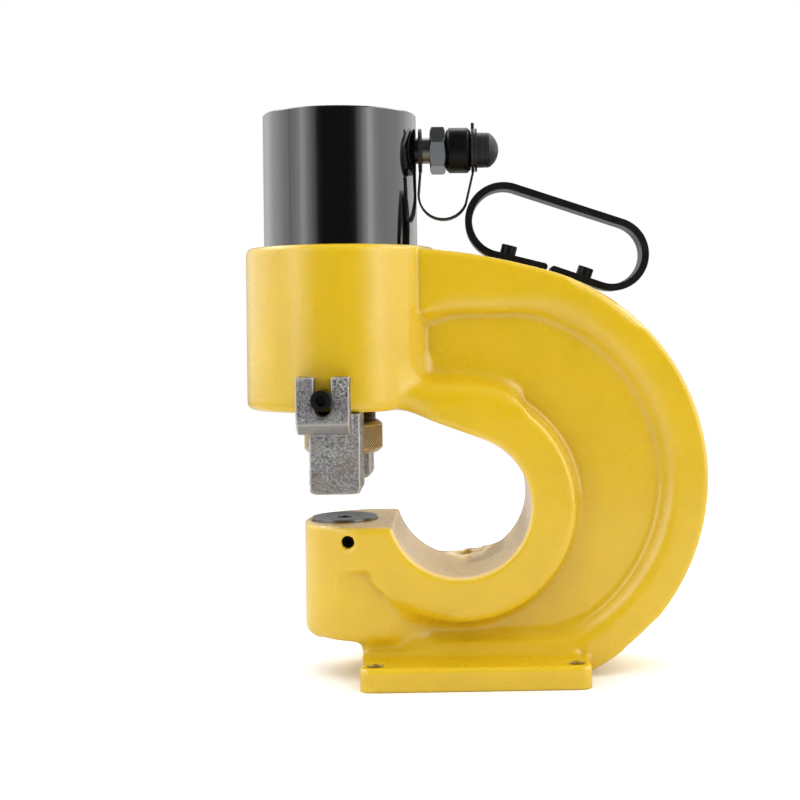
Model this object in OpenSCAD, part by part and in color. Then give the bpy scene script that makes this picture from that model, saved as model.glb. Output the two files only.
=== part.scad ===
// Hydraulic hole punch with a C-shaped cast frame.
// +X points from the punch to the back of the frame, +Y away from the viewer, +Z up.
// The origin lies under the middle of the base plate, at bench height.
// Modules are drawn from the punch axis and moved into place by at_base().

/* [Overall] */
// Height of the cylinder's top above the bench
overall_h = 350; // [345:1:360]
// Distance from the punch axis to the middle of the base plate
axis_to_base = 82; // [80:0.5:85]

/* [Frame] */
// Thickness of the jaw and of the ring round the throat, from side to side
frame_t = 88; // [84:1:90]
// Thickness of the arm and of the round back
rim_t = 68; // [64:1:72]
// Diameter of the round boss that holds the cylinder
boss_d = 120; // [117:1:124]
// Height of the underside of the boss above the bench
boss_bottom_z = 165; // [163:1:168]
// Height of the boss itself
boss_h = 101; // [98:1:104]
// Rounding of the boss's top and bottom edges
boss_edge_r = 4; // [2:0.5:5]
// Radius of the long curve along the top of the arm
arm_curve_r = 415; // [400:1:430]
// How far the highest point of that curve lies below the top of the boss
arm_drop = 0.3; // [0.3:0.1:2]
// Distance of that highest point from the punch axis
arm_peak_x = 14.6; // [13:0.1:17]
// Radius of the round back of the frame
back_r = 132.8; // [131:0.1:134]
// Rounding of the frame's outer edges
rim_edge_r = 5; // [3:0.5:7]

/* [Throat] */
// Radius of the throat
throat_r = 43; // [40:0.5:44]
// Distance of the throat's centre from the punch axis
throat_x = 73.7; // [72:0.1:75]
// Height of the throat's centre above the bench
throat_z = 106.3; // [105:0.1:108]
// Slope of the arm's underside between the boss and the throat, in degrees
throat_slope = 20.6; // [19:0.1:22]

/* [Web pocket] */
// Thickness of the web between the pockets
web_t = 52; // [40:1:60]
// Radius of the pocket's outer wall at its floor
pocket_r = 103; // [100:0.5:106]
// How far the pocket's outer wall leans outwards
pocket_draft = 8.3; // [4:0.1:9]
// Radius of the raised ring round the throat
ring_r = 69.5; // [66:0.5:72]
// How far the ring's wall leans outwards at its foot
ring_draft = 4; // [2:0.5:6]
// Height of the pocket's upper edge
pocket_top_z = 224; // [220:1:228]
// Height of the upper edge of the flange under the arm
flange_z = 183; // [180:1:186]
// Height of the pocket's lower edge
pocket_bottom_z = 23.5; // [23.5:0.5:28]
// Distance of the pocket's front end from the punch axis
pocket_front_x = 42; // [42:1:46]
// Distance from the punch axis of the foot of the ramp that leads from the jaw's side to the web
ramp_foot_x = 57; // [54:1:57]
// Length of that ramp for each millimetre that it sinks
ramp_run = 2; // [1.9:0.1:2.4]

/* [Lower jaw] */
// Height of the jaw's top face above the bench
jaw_top_z = 94.5; // [92:0.5:96]
// Height of the jaw's underside above the bench
jaw_under_z = 24; // [20:0.5:25]
// Distance from the front edge of the jaw to the punch axis
nose_reach = 25; // [22.5:0.5:28]
// Rounding of the jaw's lower edges
jaw_edge_r = 6; // [3:0.5:8]
// Height at which the jaw's sides step in
jaw_step_z = 68.5; // [66:0.5:72]
// How far the jaw's sides step in
jaw_step = 4.5; // [2:0.5:6]
// Rounding between the jaw's underside and the foot
heel_r = 5; // [3:0.5:6]

/* [Base plate] */
// Length of the base plate
base_l = 138; // [132:1:142]
// Width of the base plate
base_w = 124; // [122:1:136]
// Thickness of the base plate
base_t = 14; // [12:0.5:16]
// Radius of the plate's corners
base_corner_r = 7; // [4:0.5:9]
// Diameter of the bolt holes
base_hole_d = 9.5; // [8:0.5:10]
// Distance of the holes from the plate's ends
base_hole_end = 9; // [8.5:0.5:12]
// Distance of the holes from the plate's long edges
base_hole_side = 10; // [9:0.5:11]
// Radius of the fillet between the frame's sides and the plate
base_fillet_r = 8; // [5:0.5:8.5]

/* [Cylinder] */
// Outer diameter of the cylinder
barrel_d = 97; // [94:0.5:100]
// Bore of the cylinder
bore_d = 80; // [76:0.5:82]
// Depth of the cylinder's seat inside the boss
barrel_seat = 67; // [60:1:70]
// Thickness of the cylinder's closed top
barrel_top_t = 15; // [12:0.5:18]
// Chamfer round the cylinder's top
barrel_chamfer = 0.8; // [0.5:0.1:1.5]
// Distance of the oil port's axis below the cylinder's top
port_drop = 22.6; // [21:0.1:26]
// Groove for the ring under the cylinder, from wall to wall
seal_groove_w = 3.4; // [3:0.1:4]
// Thickness of the sealing ring under the cylinder
seal_d = 2.7; // [2.4:0.1:2.9]

/* [Ram] */
// Diameter of the ram's rod
rod_d = 41; // [38:0.5:43]
// Diameter of the threaded lower end of the rod
rod_neck_d = 38; // [34:0.5:38]
// Stroke of the ram
stroke = 25; // [20:0.5:26]
// Thickness of the piston
piston_t = 25; // [22:0.5:28]
// Room for oil above the piston when the ram is up
oil_gap = 12; // [8:0.5:14]
// Width of the piston's seal
piston_seal_w = 5.6; // [4:0.2:6.4]
// Width of the piston's wear ring
wear_ring_w = 6; // [4:0.2:7]
// Radial depth of the seal's groove
piston_seal_depth = 5; // [4:0.2:6]
// Radial depth of the wear ring's groove
wear_ring_depth = 2.5; // [1.5:0.1:3]
// Diameter of the spigot that centres the rod in the piston
spigot_d = 24; // [20:1:28]
// Length of that spigot
spigot_l = 14; // [8:1:16]
// Outer diameter of the guide bush in the boss's floor
guide_d = 54; // [50:1:58]
// Height of the rod wiper under the guide bush
wiper_h = 7; // [5:0.5:8]
// Outer diameter of the rod wiper
wiper_d = 51; // [48:0.5:53]

/* [Return spring] */
// Thickness of the spring's wire
spring_wire_d = 6.2; // [5:0.2:6.6]
// Diameter of the spring, from wire centre to wire centre
spring_mean_d = 62; // [58:0.5:66]
// Number of coils
spring_coils = 7.5; // [6:0.5:9]

/* [Punch nut and punch] */
// Height of the nut's lower face above the bench
nut_bottom_z = 137; // [136:0.5:138]
// Height of the nut
nut_h = 19.7; // [18:0.1:21]
// Diameter of the nut
nut_d = 49.5; // [47:0.5:50.5]
// Chamfer at both ends of the nut
nut_chamfer = 2.4; // [1:0.2:3]
// Thickness of the nut's floor
nut_floor_t = 5; // [4:0.5:6]
// Diameter of the punch's shoulder
punch_head_d = 32; // [28:1:34]
// Thickness of the punch's shoulder
punch_head_t = 5.8; // [4:0.2:7]
// Diameter of the punch's shank
punch_shank_d = 19.8; // [16:0.2:22]
// Diameter of the punch's cutting end
punch_d = 8.8; // [8:0.2:9]
// Length of the punch's cutting end
punch_tip_l = 8; // [6:0.5:9]
// Height of the punch's tip above the bench, with the ram up
punch_tip_z = 118.3; // [117.8:0.1:119]

/* [Die] */
// Diameter of the die
die_d = 40.8; // [38:0.2:41]
// Height of the die
die_h = 30; // [26:0.5:32]
// How far the die stands above the jaw
die_proud = 1.5; // [1:0.1:2]
// Diameter of the die's cutting hole
die_hole_d = 9.3; // [9.2:0.1:10]
// Depth of the cutting edge before the hole widens
die_land = 8; // [6:0.5:10]
// Diameter of the die's wide lower bore
die_relief_d = 14; // [12:0.5:16]
// Depth of the dish in the die's top
die_dish = 0.6; // [0.2:0.1:1]
// Diameter of the slug hole through the jaw
slug_hole_d = 18; // [16:0.5:22]
// Diameter of the die's clamping screw
die_screw_d = 7.8; // [6:0.2:8]
// Distance of that screw from the punch axis
die_screw_x = 5.5; // [4:0.5:7]
// Height of that screw above the bench
die_screw_z = 85.7; // [84:0.1:87]
// Length of that screw
die_screw_l = 18; // [12:0.5:19]

/* [Stripper feet] */
// Width of each foot
foot_w = 30; // [28:0.5:32]
// Height of the underside of the feet above the bench
foot_bottom_z = 117; // [115:0.5:118]
// Free width between the two feet
foot_gap = 52; // [51.5:0.5:54]
// Rounding of the feet's lower corners
foot_corner_r = 3; // [1:0.5:4]
// Width of the slotted leg beside the boss
leg_w = 31.5; // [29:0.5:33]
// Thickness of the leg in front of the boss
leg_t = 12; // [10:0.5:13]
// Offset of the leg's middle from the punch axis
leg_x = -5.7; // [-7:0.1:-4]
// Height of the leg's top above the bench
leg_top_z = 187; // [185:0.5:190]
// Height of the leg's lower edge above the bench
leg_bottom_z = 153; // [151:0.5:155]
// Bevel along the leg's lower edge
leg_bevel = 6; // [4:0.5:7]
// Width of the leg's slot
slot_w = 10; // [9.4:0.2:10.6]
// Height of the screw in the slot above the bench
foot_screw_z = 173.7; // [173:0.1:175]
// Distance of the screw above the middle of the slot's round lower end
slot_spare = 4.7; // [3:0.1:5.5]

/* [Screws] */
// Diameter of the stripper screws' heads
foot_screw_head_d = 12; // [11:0.2:13]
// Height of those heads
foot_screw_head_h = 8; // [6:0.5:8]
// Diameter of the stripper screws
foot_screw_d = 7.8; // [7:0.2:8]
// How far those screws reach into the boss
foot_screw_grip = 14; // [10:0.5:16]
// Diameter of the handle screws' heads
handle_screw_head_d = 10; // [9:0.2:11]
// Height of those heads
handle_screw_head_h = 6; // [5:0.2:6.5]
// Diameter of the handle screws
handle_screw_d = 5.8; // [5:0.2:6]
// How far those screws reach into the frame
handle_screw_grip = 14; // [10:0.5:16]

/* [Carry handle] */
// Thickness of the handle's bar
handle_t = 4.5; // [4:0.1:5]
// Width of the handle's bar
handle_w = 23; // [20:0.5:25]
// Outer radius of the bend nearer the cylinder
handle_front_r = 24.3; // [22:0.1:26]
// Outer radius of the bend at the back
handle_back_r = 23.2; // [22:0.1:25]
// Distance from the punch axis of the point where the front run touches the arm
handle_front_x = 118.5; // [117:0.1:120]
// Distance from the punch axis of the point where the back run touches the arm
handle_back_x = 138; // [137:0.1:140]
// Length of straight bar from the front point to the front bend
handle_front_run = 21.9; // [21:0.1:25]
// Length of straight bar from the back point to the back bend
handle_back_run = 27.4; // [26:0.1:29]
// Distance of the front screw from the point where the front run touches
handle_front_screw = 14.2; // [13:0.1:15]
// Distance of the back screw from the point where the back run touches
handle_back_screw = 15.3; // [14:0.1:17]
// Gap between the two ends of the bar
handle_tip_gap = 2; // [1:0.1:4]

/* [Oil coupler] */
// Diameter of the nipple between cylinder and coupler
nipple_d = 16.4; // [15:0.1:17]
// Diameter of the oil way
oil_way_d = 6; // [4:0.5:7]
// Distance of the coupler's hexagon from the punch axis
hex_x = 57.4; // [57:0.1:59]
// Length of the hexagon
hex_l = 9.8; // [9:0.1:11]
// Width of the hexagon across its flats
hex_af = 26.5; // [25:0.1:27]
// Turn of the hexagon about its own axis
hex_turn = 15; // [0:1:30]
// Length of the coupler's spigot past the hexagon
coupler_spigot_l = 13.3; // [12:0.1:14]
// Diameter of that spigot
coupler_spigot_d = 22; // [21:0.1:22.6]
// Diameter of the valve's chamber
valve_bore_d = 13; // [11:0.2:14]
// Diameter of the valve's seat opening
valve_seat_d = 9; // [8:0.1:9.6]
// Travel of the valve
valve_travel = 3; // [2:0.1:3.5]
// Length of the black union sleeve
sleeve_l = 15.8; // [15:0.1:17]
// Diameter of the union sleeve
sleeve_d = 28.8; // [28:0.1:30]
// Chamfer at both ends of the union sleeve
sleeve_chamfer = 2.2; // [1:0.1:3]

/* [Dust cap and strap] */
// Diameter of the cap's plug
cap_plug_d = 21.6; // [21:0.1:21.8]
// How far the plug reaches into the sleeve
cap_plug_l = 2.5; // [2:0.1:2.8]
// Diameter of the cap's flange
cap_flange_d = 27.5; // [26:0.1:29]
// Thickness of the cap's flange
cap_flange_t = 1.4; // [1:0.1:2]
// Diameter of the cap's body
cap_body_d = 22.3; // [22:0.1:23]
// Length of the cap's body before the dome
cap_body_l = 7.4; // [7:0.1:9]
// Height of the dome
cap_dome_h = 6.3; // [5:0.1:8]
// Thickness of the strap's rings
strap_ring_t = 2; // [1.6:0.1:2.6]
// Diameter of the strap's rings
strap_ring_d = 28; // [27:0.1:29]
// Thickness of the strap's band
strap_t = 1.3; // [1:0.1:1.8]
// Width of the strap's band
strap_w = 12; // [8:0.5:14]
// Radius of the strap's lower bend
strap_bend_r = 15.6; // [14:0.1:17]
// How far the strap bows out towards the cylinder
strap_bow = 1.3; // [0.6:0.1:1.5]
// Height of the centre of that bend below the coupler's axis
strap_drop = 28.4; // [27:0.1:30]

/* [Clearances] */
// Radial clearance of parts that slide or turn in each other
run_gap = 0.05; // [0.02:0.01:0.09]
// Distance between parts that only lie near each other
rest_gap = 0.3; // [0.2:0.05:0.4]

/* [Hidden] */
$fn = 96;
cut = 1;

half_t = frame_t / 2;
rim_half_t = rim_t / 2;
boss_r = boss_d / 2;
boss_top_z = boss_bottom_z + boss_h;
// The arm's curve touches the round back where both lean back by 7 in 24
arm_end = [7 / 25, 24 / 25];
centre_step = round(10 * (arm_curve_r - back_r)) / 10;
arm_r = back_r + centre_step;
arm_centre_z = boss_top_z - arm_drop - arm_r;
back_x = arm_peak_x + centre_step * arm_end[0];
back_z = arm_centre_z + centre_step * arm_end[1];
meet_x = back_x + back_r * arm_end[0];
frame_length = boss_r + back_x + back_r;
arm_joint = [back_x, back_z] + (back_r + cut) * arm_end;
nose_x = half_t - nose_reach;
foot_plate_x = axis_to_base - base_l / 2;
ring_height = (frame_t - web_t) / 2;
pocket_depth = (rim_t - web_t) / 2;

barrel_r = barrel_d / 2;
bore_r = bore_d / 2;
barrel_bottom_z = boss_top_z - barrel_seat + rest_gap;
seat_z = boss_top_z - barrel_seat;
chamber_top_z = overall_h - barrel_top_t;
port_z = overall_h - port_drop;
seal_ring_r = (bore_r + barrel_r) / 2;
seal_groove_depth = seal_d;

rod_r = rod_d / 2;
rod_neck_r = rod_neck_d / 2;
piston_top_z = chamber_top_z - oil_gap;
piston_bottom_z = piston_top_z - piston_t;
piston_land = (piston_t - piston_seal_w - wear_ring_w) / 3;
nut_top_z = nut_bottom_z + nut_h;
nut_bore_r = rod_neck_r + run_gap;
nut_floor_z = nut_bottom_z + nut_floor_t;
punch_head_z = nut_floor_z + run_gap;
rod_end_z = punch_head_z + punch_head_t + run_gap;
rod_shoulder_z = nut_top_z + rest_gap;
punch_cone_z = punch_tip_z + punch_tip_l;
punch_shank_r = punch_shank_d / 2;
punch_taper = punch_shank_r - punch_d / 2;

die_r = die_d / 2;
die_top_z = jaw_top_z + die_proud;
die_bottom_z = die_top_z - die_h;
die_flat_y = sqrt(pow(die_r, 2) - pow(die_screw_x, 2)) - 0.3;

foot_top_z = boss_bottom_z - rest_gap;
foot_inner_y = foot_gap / 2;
leg_inner_r = boss_r + rest_gap;
leg_outer_y = boss_r + leg_t;
slot_low_z = foot_screw_z - slot_spare;
foot_hole_r = foot_screw_d / 2 + run_gap;

port_hole_r = nipple_d / 2 + run_gap;
nipple_x = bore_r + 1.5;
coupler_rear_bore_l = 5.6;
spigot_x = hex_x + hex_l;
spigot_end_x = spigot_x + coupler_spigot_l;
seat_lip_t = 2;
valve_head_x = spigot_end_x - seat_lip_t;
valve_head_l = 4.4;
valve_shoulder_x = hex_x + coupler_rear_bore_l + 3;
sleeve_x = spigot_x + rest_gap;
sleeve_end_x = sleeve_x + sleeve_l;
sleeve_bore_r = coupler_spigot_d / 2 + run_gap;
cap_tip_x = sleeve_end_x - cap_plug_l;
strap_front_x = barrel_r + 1.6;
strap_back_x = sleeve_end_x + rest_gap;
cap_flange_x = strap_back_x + strap_ring_t + rest_gap;
cap_body_x = cap_flange_x + cap_flange_t;
cap_dome_x = cap_body_x + cap_body_l;
dome_r = (pow(cap_body_d / 2, 2) + pow(cap_dome_h, 2)) / (2 * cap_dome_h);

// The outline's top is one arc up to meet_x and the round back from there on
function top_r(x) = x < meet_x ? arm_r : back_r;
function top_centre(x) = x < meet_x ? [arm_peak_x, arm_centre_z] : [back_x, back_z];

// Lean of the outline's top at a distance x from the punch axis, and vectors along and out of it
function lean(x) = asin((x - top_centre(x)[0]) / top_r(x));
function along(x) = [cos(lean(x)), -sin(lean(x))];
function outward(x) = [sin(lean(x)), cos(lean(x))];
function arm_point(x) = top_centre(x) + top_r(x) * outward(x);

// Point where two lines cross, each given by its normal and its distance from the origin
function crossing(n1, d1, n2, d2) =
    let (det = n1[0] * n2[1] - n1[1] * n2[0])
    [(d1 * n2[1] - d2 * n1[1]) / det, (n1[0] * d2 - n2[0] * d1) / det];

module at_base() {
    translate([-axis_to_base, 0, 0]) children();
}

// Turns a shape drawn in X and Z, with its thickness as Z, so that its thickness lies along -Y
module upright() {
    rotate([90, 0, 0]) children();
}

// Lays a shape drawn round Z along +X at the height of the oil port
module along_port(x) {
    translate([x, 0, port_z]) rotate([0, 90, 0]) children();
}

module tube(h, outer_r, inner_r) {
    difference() {
        cylinder(h = h, r = outer_r);
        translate([0, 0, -cut]) cylinder(h = h + 2 * cut, r = inner_r);
    }
}

// Half outline of a disc with both rims rounded
module rounded_rim(r, half_h, edge_r) {
    translate([0, -half_h]) square([r - edge_r, 2 * half_h]);
    translate([0, edge_r - half_h]) square([r, 2 * (half_h - edge_r)]);
    for (side = [-1, 1])
        translate([r - edge_r, side * (half_h - edge_r)]) circle(r = edge_r);
}

module boss_casting() {
    translate([0, 0, boss_bottom_z + boss_h / 2])
        rotate_extrude() rounded_rim(boss_r, boss_h / 2, boss_edge_r);
}

// A disc with rounded rims that stands on edge, cut to an outline in X and Z
module disc_slice(x, z, r, segments, outline) {
    intersection() {
        translate([x, 0, z]) upright() rotate_extrude($fn = segments)
            rounded_rim(r, rim_half_t, rim_edge_r);
        upright() translate([0, 0, -half_t - cut]) linear_extrude(frame_t + 2 * cut) polygon(outline);
    }
}

// Arm and back are slices of two discs that touch, cut along the line through both centres
module arm_and_back() {
    far_x = back_x + back_r + cut;
    disc_slice(arm_peak_x, arm_centre_z, arm_r, 192, [
        [arm_peak_x, back_z],
        [back_x, back_z],
        arm_joint,
        [arm_peak_x, arm_joint[1] + boss_h]
    ]);
    disc_slice(back_x, back_z, back_r, 96, [
        [back_x, back_z],
        arm_joint,
        [far_x, arm_joint[1]],
        [far_x, 0],
        [throat_x, 0],
        [throat_x, back_z]
    ]);
}

// Half outline of the jaw, rounded at its lower edge
module jaw_half() {
    jaw_h = jaw_top_z - jaw_under_z;
    square([half_t - jaw_edge_r, jaw_h]);
    translate([0, jaw_edge_r]) square([half_t, jaw_h - jaw_edge_r]);
    translate([half_t - jaw_edge_r, jaw_edge_r]) circle(r = jaw_edge_r);
}

module jaw_casting() {
    translate([nose_x, 0, jaw_under_z]) {
        rotate_extrude() jaw_half();
        rotate([90, 0, 90]) linear_extrude(pocket_front_x - nose_x) {
            jaw_half();
            mirror([1, 0]) jaw_half();
        }
    }
    translate([foot_plate_x, -rim_half_t, 0])
        cube([back_x - foot_plate_x, rim_t, throat_z]);
    translate([foot_plate_x - heel_r, 0, jaw_under_z - heel_r]) heel_fillet();
}

module heel_fillet() {
    difference() {
        translate([0, -rim_half_t, 0]) cube([heel_r + cut, rim_t, heel_r + cut]);
        upright() translate([0, 0, -half_t]) cylinder(h = frame_t, r = heel_r);
    }
}

// The jaw's side steps in below the die, as far as the ring round the throat
module jaw_side_step(reach) {
    translate([-nose_reach - cut, jaw_under_z - cut, ring_height - jaw_step])
        cube([
            pocket_front_x + nose_reach + 2 * cut,
            jaw_step_z - jaw_under_z + cut,
            reach - ring_height + jaw_step
        ]);
}

module base_plate() {
    inner_l = base_l - 2 * base_corner_r;
    inner_w = base_w - 2 * base_corner_r;
    translate([axis_to_base, 0, 0]) linear_extrude(base_t) {
        square([base_l, inner_w], center = true);
        square([inner_l, base_w], center = true);
        for (x = [-1, 1], y = [-1, 1])
            translate([x * inner_l / 2, y * inner_w / 2]) circle(r = base_corner_r);
    }
    for (side = [-1, 1])
        translate([foot_plate_x, side * rim_half_t, base_t]) base_fillet(side);
}

module base_fillet(side) {
    fillet_l = base_l - base_corner_r;
    difference() {
        translate([0, side > 0 ? -cut : -base_fillet_r, -cut])
            cube([fillet_l, base_fillet_r + cut, base_fillet_r + cut]);
        translate([-cut, side * base_fillet_r, base_fillet_r])
            rotate([0, 90, 0]) cylinder(h = base_l, r = base_fillet_r);
    }
}

// Outline of the open throat, with its mouth towards the punch
module throat_outline() {
    mouth_x = -boss_d;
    tangent = [throat_x + throat_r * cos(90 - throat_slope), throat_z + throat_r * sin(90 - throat_slope)];
    slope_end_x = tangent[0] - (boss_bottom_z - tangent[1]) / tan(throat_slope);
    translate([throat_x, throat_z]) circle(r = throat_r);
    polygon([
        [mouth_x, jaw_top_z],
        [throat_x, jaw_top_z],
        tangent,
        [slope_end_x, boss_bottom_z],
        [mouth_x, boss_bottom_z]
    ]);
}

// Outline of the flange that runs under the arm from the boss to the ring
module flange_outline() {
    polygon([
        [0, throat_z],
        [throat_x, throat_z],
        [throat_x + ring_r * cos(50), throat_z + ring_r * sin(50)],
        [throat_x + ring_r * cos(62), flange_z - 7],
        [throat_x + 10, flange_z],
        [0, flange_z]
    ]);
}

// The raised ring and flange on the viewer's side, between two distances from the web's face
module ring_and_flange(low, high) {
    lean = ring_draft / ring_height;
    upright() translate([0, 0, web_t / 2 + low]) {
        intersection() {
            translate([throat_x, throat_z, 0])
                cylinder(
                    h = high - low,
                    r1 = ring_r + lean * (ring_height - low),
                    r2 = ring_r + lean * (ring_height - high)
                );
            translate([nose_x, 0, 0]) cube([frame_length, frame_length, high - low]);
        }
        linear_extrude(high - low) flange_outline();
    }
}

// The pocket's extent: straight below the arm, and with a ramp that rises to the jaw's side
module pocket_extent(reach) {
    far_x = 2 * back_r;
    translate([pocket_front_x, throat_z - cut, 0])
        cube([far_x, pocket_top_z - throat_z + cut, reach]);
    translate([0, throat_z, 0]) rotate([90, 0, 0]) linear_extrude(throat_z - pocket_bottom_z)
        polygon([
            [ramp_foot_x, 0],
            [far_x, 0],
            [far_x, reach],
            [ramp_foot_x - ramp_run * reach, reach]
        ]);
}

// What is cut away on the viewer's side: the drafted pocket in the web and the jaw's step
module web_pocket() {
    reach = ring_height + cut;
    difference() {
        upright() translate([0, 0, web_t / 2]) {
            intersection() {
                translate([back_x, back_z, 0])
                    cylinder(h = reach, r1 = pocket_r, r2 = pocket_r + pocket_draft * reach / pocket_depth);
                pocket_extent(reach);
            }
            jaw_side_step(reach);
        }
        ring_and_flange(-cut, reach + cut);
        translate([0, 0, boss_bottom_z - cut]) cylinder(h = boss_h, r = boss_r);
    }
}

module base_holes() {
    for (x = [-1, 1], y = [-1, 1])
        translate([axis_to_base + x * (base_l / 2 - base_hole_end), y * (base_w / 2 - base_hole_side), -cut])
            cylinder(h = base_t + base_fillet_r + 2 * cut, d = base_hole_d);
}

// Stepped hole in the boss for the cylinder, the ring, the rod guide and the wiper
module boss_bores() {
    translate([0, 0, seat_z]) cylinder(h = barrel_seat + cut, r = barrel_r + run_gap);
    translate([0, 0, seat_z - seal_groove_depth])
        tube(seal_groove_depth + cut, seal_ring_r + seal_groove_w / 2, seal_ring_r - seal_groove_w / 2);
    translate([0, 0, boss_bottom_z + wiper_h])
        cylinder(h = boss_h, d = guide_d + 2 * run_gap);
    translate([0, 0, boss_bottom_z - cut])
        cylinder(h = wiper_h + 2 * cut, d = wiper_d + 2 * run_gap);
}

module die_bores() {
    translate([0, 0, die_bottom_z]) cylinder(h = die_h + cut, r = die_r + run_gap);
    translate([0, 0, jaw_under_z - cut]) cylinder(h = die_h + jaw_top_z, d = slug_hole_d);
    translate([die_screw_x, 0, die_screw_z]) upright()
        cylinder(h = half_t + cut, d = die_screw_d + 2 * run_gap);
}

module foot_screw_holes() {
    for (side = [0, 1])
        mirror([0, side, 0]) translate([leg_x, 0, foot_screw_z]) upright()
            translate([0, 0, boss_r - foot_screw_grip - cut])
                cylinder(h = foot_screw_grip + 2 * cut, r = foot_hole_r);
}

module handle_screw_holes() {
    at_handle_screws() translate([0, 0, -handle_screw_grip - cut])
        cylinder(h = handle_screw_grip + 2 * cut, d = handle_screw_d + 2 * run_gap);
}

// Places a shape at both handle screws, with its Z = 0 on the bar's underside and square to it
module at_handle_screws() {
    for (place = [[handle_front_x, -handle_front_screw], [handle_back_x, handle_back_screw]]) {
        x = place[0];
        point = arm_point(x) + run_gap * outward(x) + place[1] * along(x);
        translate([point[0], 0, point[1]]) rotate([0, lean(x), 0]) children();
    }
}

module frame() {
    color("gold") at_base() difference() {
        union() {
            boss_casting();
            arm_and_back();
            jaw_casting();
            ring_and_flange(-cut, ring_height);
            mirror([0, 1, 0]) ring_and_flange(-cut, ring_height);
            base_plate();
        }
        upright() translate([0, 0, -frame_t]) linear_extrude(2 * frame_t) throat_outline();
        web_pocket();
        mirror([0, 1, 0]) web_pocket();
        boss_bores();
        die_bores();
        base_holes();
        foot_screw_holes();
        handle_screw_holes();
    }
}

module cylinder_barrel() {
    wall_l = overall_h - barrel_bottom_z;
    color("#1a1a1c") at_base() difference() {
        union() {
            translate([0, 0, barrel_bottom_z]) cylinder(h = wall_l - barrel_chamfer, r = barrel_r);
            translate([0, 0, overall_h - barrel_chamfer])
                cylinder(h = barrel_chamfer, r1 = barrel_r, r2 = barrel_r - barrel_chamfer);
        }
        translate([0, 0, barrel_bottom_z - cut])
            cylinder(h = chamber_top_z - barrel_bottom_z + cut, r = bore_r);
        along_port(nipple_x - 0.1) cylinder(h = barrel_r, r = port_hole_r);
        along_port(bore_r / 2) cylinder(h = bore_r, d = oil_way_d);
    }
}

module barrel_seal() {
    color("#222222") at_base()
        translate([0, 0, seat_z - seal_groove_depth + seal_d / 2 + run_gap])
            rotate_extrude() translate([seal_ring_r, 0]) circle(d = seal_d);
}

module rod_guide() {
    color("#b08d57") at_base()
        translate([0, 0, boss_bottom_z + wiper_h + run_gap])
            tube(seat_z - boss_bottom_z - wiper_h - 2 * run_gap, guide_d / 2, rod_r + run_gap);
}

module rod_wiper() {
    color("#1c1c1c") at_base()
        translate([0, 0, boss_bottom_z + run_gap])
            tube(wiper_h - 2 * run_gap, wiper_d / 2, rod_r + run_gap);
}

module piston() {
    seal_z = piston_top_z - piston_land - piston_seal_w;
    wear_z = piston_bottom_z + piston_land;
    color("#8a8d90") at_base() difference() {
        translate([0, 0, piston_bottom_z]) cylinder(h = piston_t, r = bore_r - run_gap);
        translate([0, 0, seal_z]) tube(piston_seal_w, bore_r + cut, bore_r - piston_seal_depth);
        translate([0, 0, wear_z]) tube(wear_ring_w, bore_r + cut, bore_r - wear_ring_depth);
        translate([0, 0, piston_bottom_z - cut])
            cylinder(h = spigot_l + rest_gap + cut, r = spigot_d / 2 + run_gap);
    }
}

module piston_seal() {
    seal_z = piston_top_z - piston_land - piston_seal_w;
    color("#202020") at_base() translate([0, 0, seal_z + run_gap])
        tube(piston_seal_w - 2 * run_gap, bore_r - run_gap, bore_r - piston_seal_depth + run_gap);
}

module wear_ring() {
    wear_z = piston_bottom_z + piston_land;
    color("#c9b27a") at_base() translate([0, 0, wear_z + run_gap])
        tube(wear_ring_w - 2 * run_gap, bore_r - run_gap, bore_r - wear_ring_depth + run_gap);
}

module ram_rod() {
    color("#2a2a2d") at_base() {
        translate([0, 0, rod_end_z])
            cylinder(h = rod_shoulder_z - rod_end_z + cut, r = rod_neck_r);
        translate([0, 0, rod_shoulder_z])
            cylinder(h = piston_bottom_z - rod_shoulder_z, r = rod_r);
        translate([0, 0, piston_bottom_z - cut])
            cylinder(h = spigot_l + cut, r = spigot_d / 2);
    }
}

spring_low_z = seat_z + rest_gap + spring_wire_d / 2;
spring_high_z = piston_bottom_z - rest_gap - spring_wire_d / 2;
spring_rings = round(spring_coils * 8);

// Centre of the spring's wire at ring i
function spring_point(i) =
    let (turn = 360 * spring_coils * i / spring_rings)
    [
        spring_mean_d / 2 * cos(turn),
        spring_mean_d / 2 * sin(turn),
        spring_low_z + (spring_high_z - spring_low_z) * i / spring_rings
    ];

// Point k of six round the wire at ring i
function spring_skin(i, k) =
    let (turn = 360 * spring_coils * i / spring_rings)
    let (out = [cos(turn), sin(turn), 0])
    spring_point(i) + spring_wire_d / 2 * (cos(60 * k) * out + sin(60 * k) * [0, 0, 1]);

spring_gap = min([
    for (i = [0 : spring_rings - 6], j = [i + 6 : spring_rings])
        norm(spring_point(i) - spring_point(j))
]) - spring_wire_d;
echo("least gap between the spring's coils in mm", spring_gap);

module return_spring() {
    skin = [for (i = [0 : spring_rings], k = [0 : 5]) spring_skin(i, k)];
    walls = [
        for (i = [0 : spring_rings - 1], k = [0 : 5])
            let (a = 6 * i + k)
            let (b = 6 * i + (k + 1) % 6)
            each [[a, a + 6, b], [b, a + 6, b + 6]]
    ];
    last = 6 * spring_rings;
    ends = [
        for (k = [1 : 4])
            each [[0, k, k + 1], [last, last + k + 1, last + k]]
    ];
    color("#9a9a9a") at_base() polyhedron(points = skin, faces = concat(walls, ends));
}

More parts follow.
